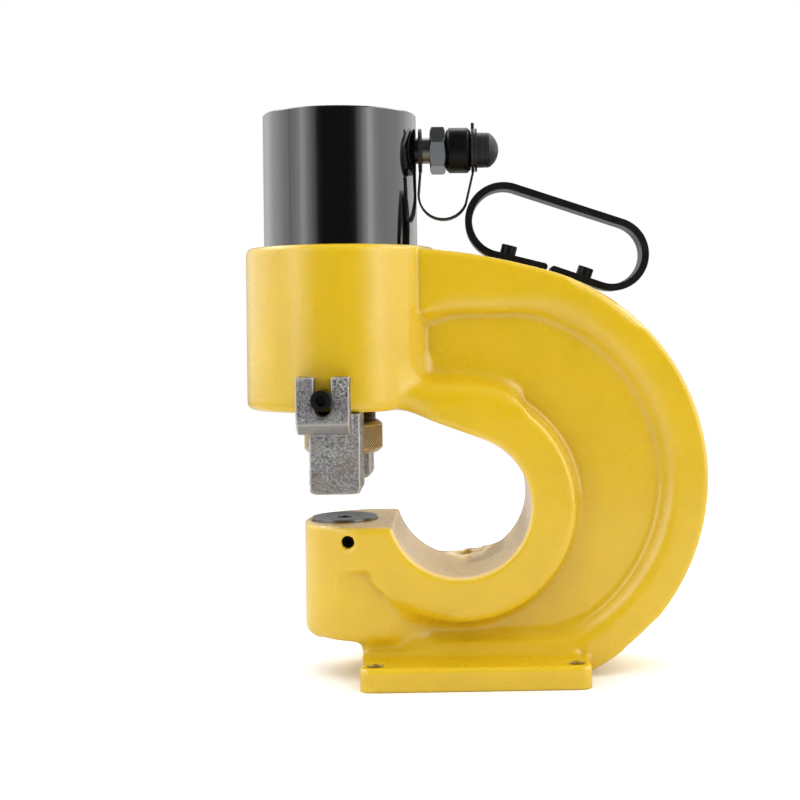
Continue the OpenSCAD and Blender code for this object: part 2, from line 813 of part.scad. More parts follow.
module punch_nut() {
    color("#a8803c") at_base() translate([0, 0, nut_bottom_z]) difference() {
        union() {
            cylinder(h = nut_chamfer, r1 = nut_d / 2 - nut_chamfer, r2 = nut_d / 2);
            translate([0, 0, nut_chamfer]) cylinder(h = nut_h - 2 * nut_chamfer, d = nut_d);
            translate([0, 0, nut_h - nut_chamfer])
                cylinder(h = nut_chamfer, r1 = nut_d / 2, r2 = nut_d / 2 - nut_chamfer);
        }
        translate([0, 0, nut_floor_t]) cylinder(h = nut_h, r = nut_bore_r);
        translate([0, 0, -cut]) cylinder(h = nut_floor_t + 2 * cut, r = punch_shank_r + run_gap);
    }
}

module punch() {
    color("#5b5d60") at_base() {
        translate([0, 0, punch_head_z]) cylinder(h = punch_head_t, d = punch_head_d);
        translate([0, 0, punch_cone_z + punch_taper])
            cylinder(h = punch_head_z - punch_cone_z - punch_taper + cut, r = punch_shank_r);
        translate([0, 0, punch_cone_z])
            cylinder(h = punch_taper, r1 = punch_d / 2, r2 = punch_shank_r);
        translate([0, 0, punch_tip_z]) cylinder(h = punch_tip_l, d = punch_d);
    }
}

module die() {
    color("#6d6f70") at_base() difference() {
        translate([0, 0, die_bottom_z]) cylinder(h = die_h, r = die_r);
        translate([0, 0, die_top_z - die_dish])
            cylinder(h = die_dish, r1 = die_hole_d, r2 = die_r * 0.86);
        translate([0, 0, die_top_z - die_land - cut])
            cylinder(h = die_land + 2 * cut, d = die_hole_d);
        translate([0, 0, die_bottom_z - cut])
            cylinder(h = die_h - die_land + cut, d = die_relief_d);
        translate([-die_r, -die_r - cut, die_screw_z - die_screw_d])
            cube([die_d, die_r + cut - die_flat_y, 2 * die_screw_d]);
    }
}

module die_screw() {
    tip_y = die_flat_y + run_gap;
    socket_d = die_screw_d / 2;
    color("#17171a") at_base() translate([die_screw_x, 0, die_screw_z]) upright()
        translate([0, 0, tip_y]) difference() {
            cylinder(h = die_screw_l, d = die_screw_d);
            translate([0, 0, die_screw_l - socket_d]) cylinder(h = socket_d + cut, d = socket_d, $fn = 6);
        }
}

// Outline of a foot seen from the front, with rounded lower corners
module foot_outline() {
    foot_h = foot_top_z - foot_bottom_z;
    translate([-foot_w / 2, foot_corner_r]) square([foot_w, foot_h - foot_corner_r]);
    translate([foot_corner_r - foot_w / 2, 0]) square([foot_w - 2 * foot_corner_r, foot_h]);
    for (side = [-1, 1])
        translate([side * (foot_w / 2 - foot_corner_r), foot_corner_r]) circle(r = foot_corner_r);
}

// Outline of a leg seen from the side: distance from the punch axis against height
module leg_outline() {
    root_y = boss_r - 9;
    polygon([
        [root_y, leg_bottom_z],
        [leg_outer_y - leg_bevel, leg_bottom_z],
        [leg_outer_y, leg_bottom_z + leg_bevel],
        [leg_outer_y, leg_top_z],
        [root_y, leg_top_z]
    ]);
}

// The foot on the viewer's side
module stripper_foot() {
    difference() {
        union() {
            upright() translate([0, foot_bottom_z, foot_inner_y])
                linear_extrude(boss_r - foot_inner_y) foot_outline();
            translate([leg_x + leg_w / 2, 0, 0]) rotate([90, 0, -90])
                linear_extrude(leg_w) leg_outline();
        }
        translate([0, 0, foot_top_z]) cylinder(h = boss_h, r = leg_inner_r);
        translate([leg_x, 0, slot_low_z]) {
            upright() cylinder(h = leg_outer_y + cut, d = slot_w);
            translate([-slot_w / 2, -leg_outer_y - cut, 0])
                cube([slot_w, leg_outer_y + cut, boss_h]);
        }
    }
}

module stripper_front() {
    color("#b9bbbd") at_base() stripper_foot();
}

module stripper_rear() {
    color("#b9bbbd") at_base() mirror([0, 1, 0]) stripper_foot();
}

// Socket head screw, its head's underside at Z = 0 and its shank below
module socket_screw(shank_d, shank_l, head_d, head_h) {
    socket_d = 0.58 * head_d;
    difference() {
        union() {
            translate([0, 0, -shank_l]) cylinder(h = shank_l + cut, d = shank_d);
            cylinder(h = head_h, d = head_d);
        }
        translate([0, 0, head_h / 2]) cylinder(h = head_h, d = socket_d, $fn = 6);
    }
}

module stripper_screws() {
    seat_y = leg_outer_y + run_gap;
    shank_l = foot_screw_grip + seat_y - boss_r;
    color("#141416") at_base() for (side = [0, 1])
        mirror([0, side, 0]) translate([leg_x, -seat_y, foot_screw_z]) upright()
            socket_screw(foot_screw_d, shank_l, foot_screw_head_d, foot_screw_head_h);
}

// The handle's outline at a depth into the bar: two bends, a straight top and two seated runs
module handle_outline(depth) {
    front_n = outward(handle_front_x);
    back_n = outward(handle_back_x);
    front_seat = arm_point(handle_front_x) + run_gap * front_n;
    back_seat = arm_point(handle_back_x) + run_gap * back_n;
    front_c = front_seat - handle_front_run * along(handle_front_x) + handle_front_r * front_n;
    back_c = back_seat + handle_back_run * along(handle_back_x) + handle_back_r * back_n;
    span = back_c - front_c;
    top_angle = atan2(span[1], span[0]) + acos((handle_front_r - handle_back_r) / norm(span));
    top_n = [cos(top_angle), sin(top_angle)];
    front_rr = handle_front_r - depth;
    back_rr = handle_back_r - depth;
    translate(front_c) circle(r = front_rr);
    translate(back_c) circle(r = back_rr);
    polygon([
        front_c - front_rr * front_n,
        handle_middle(depth),
        back_c - back_rr * back_n,
        back_c + back_rr * top_n,
        front_c + front_rr * top_n
    ]);
}

// Where the two seated runs would meet, at a depth into the bar
function handle_middle(depth) =
    let (front_n = outward(handle_front_x))
    let (back_n = outward(handle_back_x))
    crossing(
        front_n, arm_point(handle_front_x) * front_n + run_gap + depth,
        back_n, arm_point(handle_back_x) * back_n + run_gap + depth
    );

module handle_tip(direction) {
    translate(handle_middle(handle_t / 2) + (handle_tip_gap + handle_t) / 2 * direction)
        circle(d = handle_t);
}

module carry_handle() {
    tip_cut = handle_tip_gap + handle_t;
    tip_lean = (lean(handle_front_x) + lean(handle_back_x)) / 2;
    color("#1d1d20") at_base() difference() {
        upright() translate([0, 0, -handle_w / 2]) linear_extrude(handle_w) {
            difference() {
                handle_outline(0);
                handle_outline(handle_t);
                translate(handle_middle(handle_t / 2)) rotate(-tip_lean)
                    square([tip_cut, 3 * handle_t], center = true);
            }
            handle_tip(-along(handle_front_x));
            handle_tip(along(handle_back_x));
        }
        at_handle_screws() translate([0, 0, -cut])
            cylinder(h = handle_t + 2 * cut, d = handle_screw_d + 2 * run_gap);
    }
}

module handle_screws() {
    color("#141416") at_base() at_handle_screws() translate([0, 0, handle_t + run_gap])
        socket_screw(handle_screw_d, handle_screw_grip + handle_t,
            handle_screw_head_d, handle_screw_head_h);
}

module port_nipple() {
    nipple_l = hex_x + coupler_rear_bore_l - run_gap - nipple_x;
    color("#8f908a") at_base() along_port(nipple_x) tube(nipple_l, nipple_d / 2, oil_way_d / 2);
}

module coupler_body() {
    hex_chamfer = 1.2;
    color("#a7a9a8") at_base() difference() {
        union() {
            along_port(hex_x) intersection() {
                rotate(hex_turn) cylinder(h = hex_l, d = hex_af / cos(30), $fn = 6);
                union() {
                    cylinder(h = hex_chamfer, r1 = hex_af / 2, r2 = hex_af / 2 + 2 * hex_chamfer);
                    translate([0, 0, hex_chamfer])
                        cylinder(h = hex_l - 2 * hex_chamfer, r = hex_af / 2 + 2 * hex_chamfer);
                    translate([0, 0, hex_l - hex_chamfer])
                        cylinder(h = hex_chamfer, r1 = hex_af / 2 + 2 * hex_chamfer, r2 = hex_af / 2);
                }
            }
            along_port(spigot_x - cut) cylinder(h = coupler_spigot_l + cut, d = coupler_spigot_d);
        }
        along_port(hex_x - cut) cylinder(h = coupler_rear_bore_l + cut, r = port_hole_r);
        along_port(hex_x) cylinder(h = hex_l, d = oil_way_d);
        along_port(valve_shoulder_x)
            cylinder(h = valve_head_x - valve_shoulder_x, d = valve_bore_d);
        along_port(valve_head_x - cut) cylinder(h = seat_lip_t + 2 * cut, d = valve_seat_d);
    }
}

module valve_poppet() {
    color("#c8c8c4") at_base() {
        along_port(valve_head_x - run_gap - valve_head_l)
            cylinder(h = valve_head_l, r = valve_bore_d / 2 - run_gap);
        along_port(valve_head_x - run_gap - cut)
            cylinder(h = seat_lip_t + cut, r = valve_seat_d / 2 - run_gap);
    }
}

module valve_spring() {
    room = valve_head_x - valve_head_l - valve_travel - valve_shoulder_x;
    wall = 1.4;
    color("#9a9a9a") at_base() along_port(valve_shoulder_x + run_gap)
        tube(room - rest_gap, valve_bore_d / 2 - rest_gap, valve_bore_d / 2 - rest_gap - wall);
}

module coupler_sleeve() {
    sleeve_r = sleeve_d / 2;
    color("#17181a") at_base() along_port(sleeve_x) difference() {
        union() {
            cylinder(h = sleeve_chamfer, r1 = sleeve_r - sleeve_chamfer, r2 = sleeve_r);
            translate([0, 0, sleeve_chamfer]) cylinder(h = sleeve_l - 2 * sleeve_chamfer, r = sleeve_r);
            translate([0, 0, sleeve_l - sleeve_chamfer])
                cylinder(h = sleeve_chamfer, r1 = sleeve_r, r2 = sleeve_r - sleeve_chamfer);
        }
        translate([0, 0, -cut]) cylinder(h = sleeve_l + 2 * cut, r = sleeve_bore_r);
    }
}

module dust_cap() {
    color("#1b1b1d") at_base() difference() {
        union() {
            along_port(cap_tip_x) cylinder(h = cap_flange_x - cap_tip_x + cut, d = cap_plug_d);
            along_port(cap_flange_x) cylinder(h = cap_flange_t, d = cap_flange_d);
            along_port(cap_body_x - cut) cylinder(h = cap_body_l + cut, d = cap_body_d);
            intersection() {
                along_port(cap_dome_x + cap_dome_h - dome_r) sphere(r = dome_r);
                along_port(cap_dome_x - cut) cylinder(h = cap_dome_h + 2 * cut, d = cap_body_d);
            }
        }
        for (x = [cap_dome_x - 2.6, cap_dome_x - 0.6])
            along_port(x) tube(0.6, cap_body_d, cap_body_d / 2 - 0.4);
    }
}

// Middle line of the strap's band, from the ring on the nipple to just below the cap's loop
function strap_path() =
    let (front_x = strap_front_x + strap_ring_t / 2)
    let (bend_c = [front_x + strap_bend_r - strap_bow, port_z - strap_drop])
    concat(
        [[front_x, port_z - strap_ring_d / 2 + 1]],
        [for (a = [180 : 12 : 336]) bend_c + strap_bend_r * [cos(a), sin(a)]],
        [[strap_back_x + strap_ring_t / 2, port_z - strap_ring_d / 2 - rest_gap]]
    );

// Unit vector square to the path at point i
function strap_side(path, i) =
    let (before = path[max(i - 1, 0)])
    let (after = path[min(i + 1, len(path) - 1)])
    let (step = (after - before) / norm(after - before))
    [-step[1], step[0]];

// Ring and pull tab round the cap's plug
module cap_loop() {
    tab_h = 3.2;
    color("#19191b") at_base() difference() {
        union() {
            along_port(strap_back_x) cylinder(h = strap_ring_t, d = strap_ring_d);
            translate([strap_back_x, -strap_w / 4, port_z])
                cube([strap_ring_t, strap_w / 2, strap_ring_d / 2 + tab_h]);
        }
        along_port(strap_back_x - cut)
            cylinder(h = strap_ring_t + 2 * cut, r = cap_plug_d / 2 + run_gap);
    }
}

// Ring round the nipple and the band that hangs from it
module cap_strap() {
    path = strap_path();
    count = len(path);
    inner = [for (i = [0 : count - 1]) path[i] + strap_t / 2 * strap_side(path, i)];
    outer = [for (i = [count - 1 : -1 : 0]) path[i] - strap_t / 2 * strap_side(path, i)];
    color("#19191b") at_base() {
        along_port(strap_front_x) tube(strap_ring_t, strap_ring_d / 2, port_hole_r);
        upright() translate([0, 0, -strap_w / 2]) linear_extrude(strap_w)
            polygon(concat(inner, outer));
    }
}

frame();
cylinder_barrel();
barrel_seal();
rod_guide();
rod_wiper();
piston();
piston_seal();
wear_ring();
ram_rod();
return_spring();
punch_nut();
punch();
die();
die_screw();
stripper_front();
stripper_rear();
stripper_screws();
carry_handle();
handle_screws();
port_nipple();
coupler_body();
valve_poppet();
valve_spring();
coupler_sleeve();
dust_cap();
cap_loop();
cap_strap();
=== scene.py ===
import math

import bmesh
import bpy
import numpy as np
from mathutils import Matrix, Vector


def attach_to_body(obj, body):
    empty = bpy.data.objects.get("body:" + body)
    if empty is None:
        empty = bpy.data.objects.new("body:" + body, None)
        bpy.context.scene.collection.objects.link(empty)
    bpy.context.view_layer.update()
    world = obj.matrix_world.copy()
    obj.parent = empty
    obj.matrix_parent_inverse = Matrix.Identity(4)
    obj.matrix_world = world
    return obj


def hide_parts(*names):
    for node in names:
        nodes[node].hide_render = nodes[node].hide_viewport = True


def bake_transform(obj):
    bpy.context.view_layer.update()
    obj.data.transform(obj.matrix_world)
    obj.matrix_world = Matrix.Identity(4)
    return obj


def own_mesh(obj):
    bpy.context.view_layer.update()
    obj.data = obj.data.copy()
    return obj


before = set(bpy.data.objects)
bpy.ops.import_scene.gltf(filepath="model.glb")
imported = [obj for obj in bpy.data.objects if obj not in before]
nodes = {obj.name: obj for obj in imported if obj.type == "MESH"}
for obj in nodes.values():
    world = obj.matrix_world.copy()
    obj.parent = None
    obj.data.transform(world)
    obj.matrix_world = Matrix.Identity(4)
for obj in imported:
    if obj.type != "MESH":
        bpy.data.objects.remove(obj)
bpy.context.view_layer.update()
scene = bpy.context.scene

MM = 0.001

# Where the punch axis stands in the part's frame, in metres
AXIS_X = -0.082

# Sizes of the CAD part in mm, with x counted from the punch axis
BOSS_R = 60.0
RIM_HALF_T = 34.0
RIM_EDGE_R = 5.0
ARM_CENTRE = (14.6, -149.3)
ARM_R = 415.0
BACK_CENTRE = (93.616, 121.612)
BACK_R = 132.8
ARM_MEETS_BACK_X = 130.8
THROAT_CENTRE = (73.7, 106.3)
DIE_SCREW_AT = (5.5, 85.7)
BASE_HOLES_X = (22.0, 142.0)
BASE_HOLE_Y = 52.0
LEG_X = -5.7
SLOT_LOW_Z = 169.0
NUT_LOW_Z = 137.0
NUT_HIGH_Z = 156.7
NUT_R = 24.75
NUT_BORE_R = 19.08
NUT_HOLE_R = 9.98
NUT_FLOOR_T = 5.0


# Camera, fitted to the photograph

IMAGE_PX = 800.0
SENSOR_MM = 36.0
FOCAL_PX = 1362.5288
CENTRE_PX = (477.9711, 300.1612)
CAMERA_AT = (0.0790468 + AXIS_X, -0.8681657, 0.2204678)
YAW, PITCH, ROLL = -0.0088, -0.0130, -0.0141


def camera_axes(yaw, pitch, roll):
    level = np.array([-math.sin(yaw), math.cos(yaw), 0.0])
    right = np.array([math.cos(yaw), math.sin(yaw), 0.0])
    up = np.array([0.0, 0.0, 1.0])
    forward = level * math.cos(pitch) - up * math.sin(pitch)
    tilted_up = up * math.cos(pitch) + level * math.sin(pitch)
    rolled_right = right * math.cos(roll) + tilted_up * math.sin(roll)
    rolled_up = tilted_up * math.cos(roll) - right * math.sin(roll)
    return rolled_right, rolled_up, forward


def make_camera():
    data = bpy.data.cameras.new("camera")
    data.sensor_width = SENSOR_MM
    data.sensor_fit = "HORIZONTAL"
    data.lens = FOCAL_PX / IMAGE_PX * SENSOR_MM
    data.shift_x = (IMAGE_PX / 2.0 - CENTRE_PX[0]) / IMAGE_PX
    data.shift_y = (CENTRE_PX[1] - IMAGE_PX / 2.0) / IMAGE_PX
    data.clip_start = 0.05
    data.clip_end = 50.0
    right, up, forward = camera_axes(YAW, PITCH, ROLL)
    matrix = Matrix.Identity(4)
    for row in range(3):
        matrix[row][0] = right[row]
        matrix[row][1] = up[row]
        matrix[row][2] = -forward[row]
        matrix[row][3] = CAMERA_AT[row]
    camera = bpy.data.objects.new("camera", data)
    scene.collection.objects.link(camera)
    camera.matrix_world = matrix
    scene.camera = camera


make_camera()
scene.view_settings.view_transform = "Standard"


# Node helpers

def feed(tree, socket, value):
    if isinstance(value, bpy.types.NodeSocket):
        tree.links.new(value, socket)
    else:
        socket.default_value = value


def add(tree, kind, inputs=None, **settings):
    node = tree.nodes.new("ShaderNode" + kind)
    for key, value in settings.items():
        setattr(node, key, value)
    for key, value in (inputs or {}).items():
        feed(tree, node.inputs[key], value)
    return node


def math_node(tree, operation, a, b=0.0):
    return add(tree, "Math", {0: a, 1: b}, operation=operation).outputs[0]


def times(tree, a, b):
    return math_node(tree, "MULTIPLY", a, b)


def map_range(tree, kind, value, low, high, out_low, out_high):
    inputs = {
        "Value": value, "From Min": low, "From Max": high, "To Min": out_low, "To Max": out_high,
    }
    return add(tree, "MapRange", inputs, interpolation_type=kind).outputs[0]


def smooth_step(tree, value, low, high, out_low=0.0, out_high=1.0):
    return map_range(tree, "SMOOTHSTEP", value, low, high, out_low, out_high)


def linear_step(tree, value, low, high, out_low=0.0, out_high=1.0):
    return map_range(tree, "LINEAR", value, low, high, out_low, out_high)


def mix_colour(tree, factor, a, b, blend="MIX"):
    node = add(tree, "Mix", data_type="RGBA", blend_type=blend)
    # Inputs 6 and 7 and output 2 are the node's colour sockets
    for key, value in ((0, factor), (6, a), (7, b)):
        feed(tree, node.inputs[key], value)
    return node.outputs[2]


def noise(tree, where, scale, detail=3.0, rough=0.5):
    inputs = {"Vector": where, "Scale": scale, "Detail": detail, "Roughness": rough}
    return add(tree, "TexNoise", inputs).outputs[0]


def bump(tree, height, depth, normal=None):
    inputs = {"Height": height, "Distance": depth, "Strength": 1.0}
    if normal is not None:
        inputs["Normal"] = normal
    return add(tree, "Bump", inputs).outputs[0]


def rounded(tree, radius):
    """Normal that rounds the mesh's sharp edges off"""
    return add(tree, "Bevel", {"Radius": radius}, samples=4).outputs[0]


def attribute(tree, name):
    return add(tree, "Attribute", attribute_name=name).outputs["Fac"]


def rgba(r, g, b):
    return (r, g, b, 1.0)


def grey(level):
    return rgba(level, level, level)


def new_material(name):
    material = bpy.data.materials.new(name)
    material.use_nodes = True
    tree = material.node_tree
    tree.nodes.clear()
    output = add(tree, "OutputMaterial")
    shader = add(tree, "BsdfPrincipled")
    tree.links.new(shader.outputs[0], output.inputs[0])
    where = add(tree, "TexCoord").outputs["Object"]
    return material, tree, shader, where


SOCKETS = {
    "colour": "Base Color", "rough": "Roughness", "normal": "Normal", "metal": "Metallic",
}


def attach(tree, shader, **links):
    for key, value in links.items():
        feed(tree, shader.inputs[SOCKETS[key]], value)


# World: a white room with tall soft boxes to the left and right and a dark camera side.
# Each stop is an azimuth in degrees, 0 towards the camera, and the wall's brightness there.

WALL_STOPS = (
    (-180, 0.10), (-160, 0.15), (-120, 0.43), (-98, 0.48), (-82, 0.42), (-77, 0.40),
    (-75, 0.27), (-73, 0.38), (-68, 0.43), (-60, 0.55), (-53, 0.82), (-49, 0.72),
    (-42, 0.45), (-34, 0.24), (-27, 0.025), (-20, 0.005), (18, 0.005), (26, 0.02),
    (33, 0.22), (42, 0.58), (49, 1.0), (54, 0.85), (59, 0.60), (70, 0.50), (83, 0.48),
    (98, 0.45), (123, 0.45), (150, 0.30), (165, 0.16), (180, 0.10),
)
WALL_GAIN = 3.55
ROOF_GAIN = 3.0
ROOF_OVER_CAMERA = 0.04
ROOF_AT_ZENITH = 0.05
GROUND_LIGHT = 0.45
LEAST_LIGHT = 0.03


def wall_light(tree, x, y, z):
    azimuth = math_node(tree, "ARCTAN2", x, times(tree, y, -1.0))
    share = linear_step(tree, azimuth, -math.pi, math.pi)
    ramp = add(tree, "ValToRGB", {0: share})
    ramp.color_ramp.interpolation = "EASE"
    elements = ramp.color_ramp.elements
    while len(elements) > 1:
        elements.remove(elements[-1])
    for index, (angle, level) in enumerate(WALL_STOPS):
        position = (angle + 180.0) / 360.0
        element = elements[0] if index == 0 else elements.new(position)
        element.position = position
        element.color = grey(level)
    wall = times(tree, ramp.outputs[0], WALL_GAIN)
    above_floor = smooth_step(tree, z, -0.16, 0.02)
    below_roof = smooth_step(tree, z, 0.60, 0.82, 1.0, 0.0)
    return times(tree, wall, times(tree, above_floor, below_roof))


def roof_light(tree, y, z):
    roof = smooth_step(tree, z, 0.48, 0.70, 0.0, ROOF_GAIN)
    roof = times(tree, roof, smooth_step(tree, y, -0.40, 0.15, ROOF_OVER_CAMERA, 1.0))
    return times(tree, roof, smooth_step(tree, z, 0.84, 0.94, 1.0, ROOF_AT_ZENITH))


def make_world():
    world = bpy.data.worlds.new("studio")
    scene.world = world
    world.use_nodes = True
    tree = world.node_tree
    tree.nodes.clear()
    output = add(tree, "OutputWorld")
    direction = add(tree, "TexCoord").outputs["Generated"]
    x, y, z = add(tree, "SeparateXYZ", {0: direction}).outputs
    wall = wall_light(tree, x, y, z)
    roof = roof_light(tree, y, z)
    ground = smooth_step(tree, z, -0.25, 0.0, GROUND_LIGHT, 0.0)
    light = math_node(tree, "ADD", math_node(tree, "ADD", wall, roof), ground)
    light = math_node(tree, "ADD", light, LEAST_LIGHT)
    seen = add(tree, "LightPath").outputs["Is Camera Ray"]
    room = add(tree, "Background", {"Color": grey(1.0), "Strength": light})
    white = add(tree, "Background", {"Color": grey(1.0), "Strength": 1.0})
    mixed = add(tree, "MixShader", {0: seen, 1: room.outputs[0], 2: white.outputs[0]})
    tree.links.new(mixed.outputs[0], output.inputs[0])


make_world()


# Large soft lamp above and in front, which gives no mirror image

LAMP_AT = (0.12, -0.45, 1.65)
LAMP_AIM = (0.0, 0.0, 0.15)
LAMP_SIDE = 1.6
LAMP_WATTS = 16.5


def make_lamp():
    data = bpy.data.lights.new("soft_lamp", "AREA")
    data.shape = "SQUARE"
    data.size = LAMP_SIDE
    data.energy = LAMP_WATTS
    lamp = bpy.data.objects.new("soft_lamp", data)
    scene.collection.objects.link(lamp)
    lamp.location = LAMP_AT
    back = Vector(LAMP_AT) - Vector(LAMP_AIM)
    lamp.rotation_euler = back.to_track_quat("Z", "Y").to_euler()
    lamp.visible_glossy = False


make_lamp()


# Floor that fades into the white room, and is darker in the part's mirror images

FLOOR_R = 1.5
FLOOR_FADES_FROM = 0.45
FLOOR_GONE_AT = 1.3
FLOOR_IN_MIRROR = 0.48


def make_floor():
    bm = bmesh.new()
    bmesh.ops.create_circle(bm, cap_ends=True, segments=96, radius=FLOOR_R)
    mesh = bpy.data.meshes.new("floor")
    bm.to_mesh(mesh)
    bm.free()
    floor = bpy.data.objects.new("floor", mesh)
    scene.collection.objects.link(floor)
    floor.location = (0.0, 0.0, -0.1 * MM)
    material, tree, shader, where = new_material("floor")
    distance = add(tree, "VectorMath", {0: where}, operation="LENGTH").outputs["Value"]
    fade = smooth_step(tree, distance, FLOOR_FADES_FROM, FLOOR_GONE_AT)
    tone = mix_colour(tree, noise(tree, where, 40.0), grey(0.93), grey(0.96))
    mirrored = add(tree, "LightPath").outputs["Is Glossy Ray"]
    tone = mix_colour(tree, mirrored, tone, grey(FLOOR_IN_MIRROR))
    attach(tree, shader, colour=tone, rough=0.9)
    shader.inputs["Specular IOR Level"].default_value = 0.1
    clear = add(tree, "BsdfTransparent")
    mixed = add(tree, "MixShader", {0: fade, 1: shader.outputs[0], 2: clear.outputs[0]})
    tree.links.new(mixed.outputs[0], tree.nodes["Material Output"].inputs[0])
    mesh.materials.append(material)


make_floor()


# Materials. Noise scales are per metre, bump depths in metres.

def yellow_paint():
    """Cast iron under paint. Attributes drawn on the casting's points give a painted highlight on
    outer edges, painted shade in inner corners, a painted pale reflection on the throat wall and
    jaw top, and darker marks that are partly grime and partly painted shade
    """
    material, tree, shader, where = new_material("yellow_paint_cast")
    edge = attribute(tree, "edge")
    tone = noise(tree, where, scale=22.0, detail=4.0, rough=0.6)
    fine = noise(tree, where, scale=420.0, rough=0.6)
    colour = mix_colour(
        tree, smooth_step(tree, tone, 0.3, 0.7), rgba(0.615, 0.400, 0.006), rgba(0.67, 0.436, 0.008)
    )
    colour = mix_colour(tree, times(tree, fine, 0.12), colour, rgba(0.60, 0.34, 0.006))
    # Painted highlight: outer edges are drawn lighter yellow
    edge_highlight = linear_step(tree, edge, 0.56, 0.85, 0.0, 0.15)
    colour = mix_colour(tree, edge_highlight, colour, rgba(0.84, 0.60, 0.06))
    # Painted shade: inner corners are drawn darker brown
    crease_shade = linear_step(tree, edge, 0.44, 0.15, 0.0, 0.28)
    colour = mix_colour(tree, crease_shade, colour, rgba(0.46, 0.24, 0.004))
    # Painted reflection: the throat wall and jaw top are drawn pale beige
    painted_reflection = times(tree, attribute(tree, "painted_reflection"), 0.55)
    colour = mix_colour(tree, painted_reflection, colour, rgba(0.88, 0.65, 0.31))
    blotches = noise(tree, where, scale=260.0, detail=4.0, rough=0.7)
    spots = smooth_step(tree, blotches, 0.38, 0.56, 0.35, 1.0)
    # Darker marks: brown overspray and darker rim and lip lines, with painted shade inside the base
    # holes
    grime_and_shade = times(tree, attribute(tree, "grime_and_shade"), spots)
    colour = mix_colour(tree, grime_and_shade, colour, rgba(0.13, 0.065, 0.012))
    sheen = noise(tree, where, scale=60.0, detail=4.0, rough=0.65)
    rough = linear_step(tree, sheen, 0.3, 0.7, 0.24, 0.36)
    waves = bump(tree, noise(tree, where, scale=34.0, detail=2.0), 0.00034)
    cast = bump(tree, noise(tree, where, scale=190.0, rough=0.55), 0.00005, waves)
    peel = bump(tree, noise(tree, where, scale=900.0, detail=2.0), 0.0000065, cast)
    attach(tree, shader, colour=colour, rough=rough, normal=peel)
    shader.inputs["IOR"].default_value = 1.5
    shader.inputs["Coat Weight"].default_value = 0.65
    shader.inputs["Coat Roughness"].default_value = 0.09
    tree.links.new(cast, shader.inputs["Coat Normal"])
    return material


def gloss_black():
    material, tree, shader, where = new_material("gloss_black_paint")
    dust = smooth_step(tree, noise(tree, where, scale=900.0, detail=2.0, rough=0.6), 0.55, 0.8)
    colour = mix_colour(tree, dust, rgba(0.0015, 0.0015, 0.0018), rgba(0.006, 0.006, 0.0065))
    sheen = noise(tree, where, scale=55.0, detail=4.0, rough=0.6)
    rough = linear_step(tree, sheen, 0.3, 0.7, 0.07, 0.15)
    waves = noise(tree, where, scale=30.0, detail=2.0)
    waves = bump(tree, waves, 0.00007, rounded(tree, 0.5 * MM))
    peel = bump(tree, noise(tree, where, scale=650.0, detail=2.0), 0.0000022, waves)
    attach(tree, shader, colour=colour, rough=rough, normal=peel)
    shader.inputs["Coat Weight"].default_value = 1.0
    shader.inputs["Coat Roughness"].default_value = 0.04
    tree.links.new(waves, shader.inputs["Coat Normal"])
    return material


def satin_black(name, level, rough_range, grain_scale, grain_depth, radius, specular=0.5):
    material, tree, shader, where = new_material(name)
    tone = noise(tree, where, scale=70.0, detail=4.0, rough=0.6)
    colour = mix_colour(tree, tone, rgba(level, level, level * 1.05), grey(level * 2.0))
    sheen = noise(tree, where, scale=160.0, detail=4.0, rough=0.6)
    rough = linear_step(tree, sheen, 0.3, 0.7, *rough_range)
    waves = noise(tree, where, scale=80.0, detail=2.0)
    waves = bump(tree, waves, 0.00006, rounded(tree, radius))
    grain = bump(tree, noise(tree, where, grain_scale, rough=0.6), grain_depth, waves)
    attach(tree, shader, colour=colour, rough=rough, normal=grain)
    shader.inputs["Specular IOR Level"].default_value = specular
    return material


def mottled(tree, where, dark, bright):
    tone = noise(tree, where, scale=120.0, detail=5.0, rough=0.65)
    return mix_colour(tree, smooth_step(tree, tone, 0.25, 0.75), dark, bright)


def uneven_rough(tree, where, low, high):
    sheen = noise(tree, where, scale=300.0, detail=4.0, rough=0.6)
    return linear_step(tree, sheen, 0.25, 0.75, low, high)


def metal(name, dark, bright, rough_range, grain_scale, grain_depth, radius=0.4 * MM, stretch=None):
    material, tree, shader, where = new_material(name)
    if stretch is not None:
        where = add(tree, "Mapping", {"Vector": where, "Scale": stretch}).outputs[0]
    colour = mottled(tree, where, dark, bright)
    rough = uneven_rough(tree, where, *rough_range)
    grain = noise(tree, where, grain_scale, rough=0.6)
    grain = bump(tree, grain, grain_depth, rounded(tree, radius))
    attach(tree, shader, colour=colour, rough=rough, normal=grain, metal=1.0)
    return material


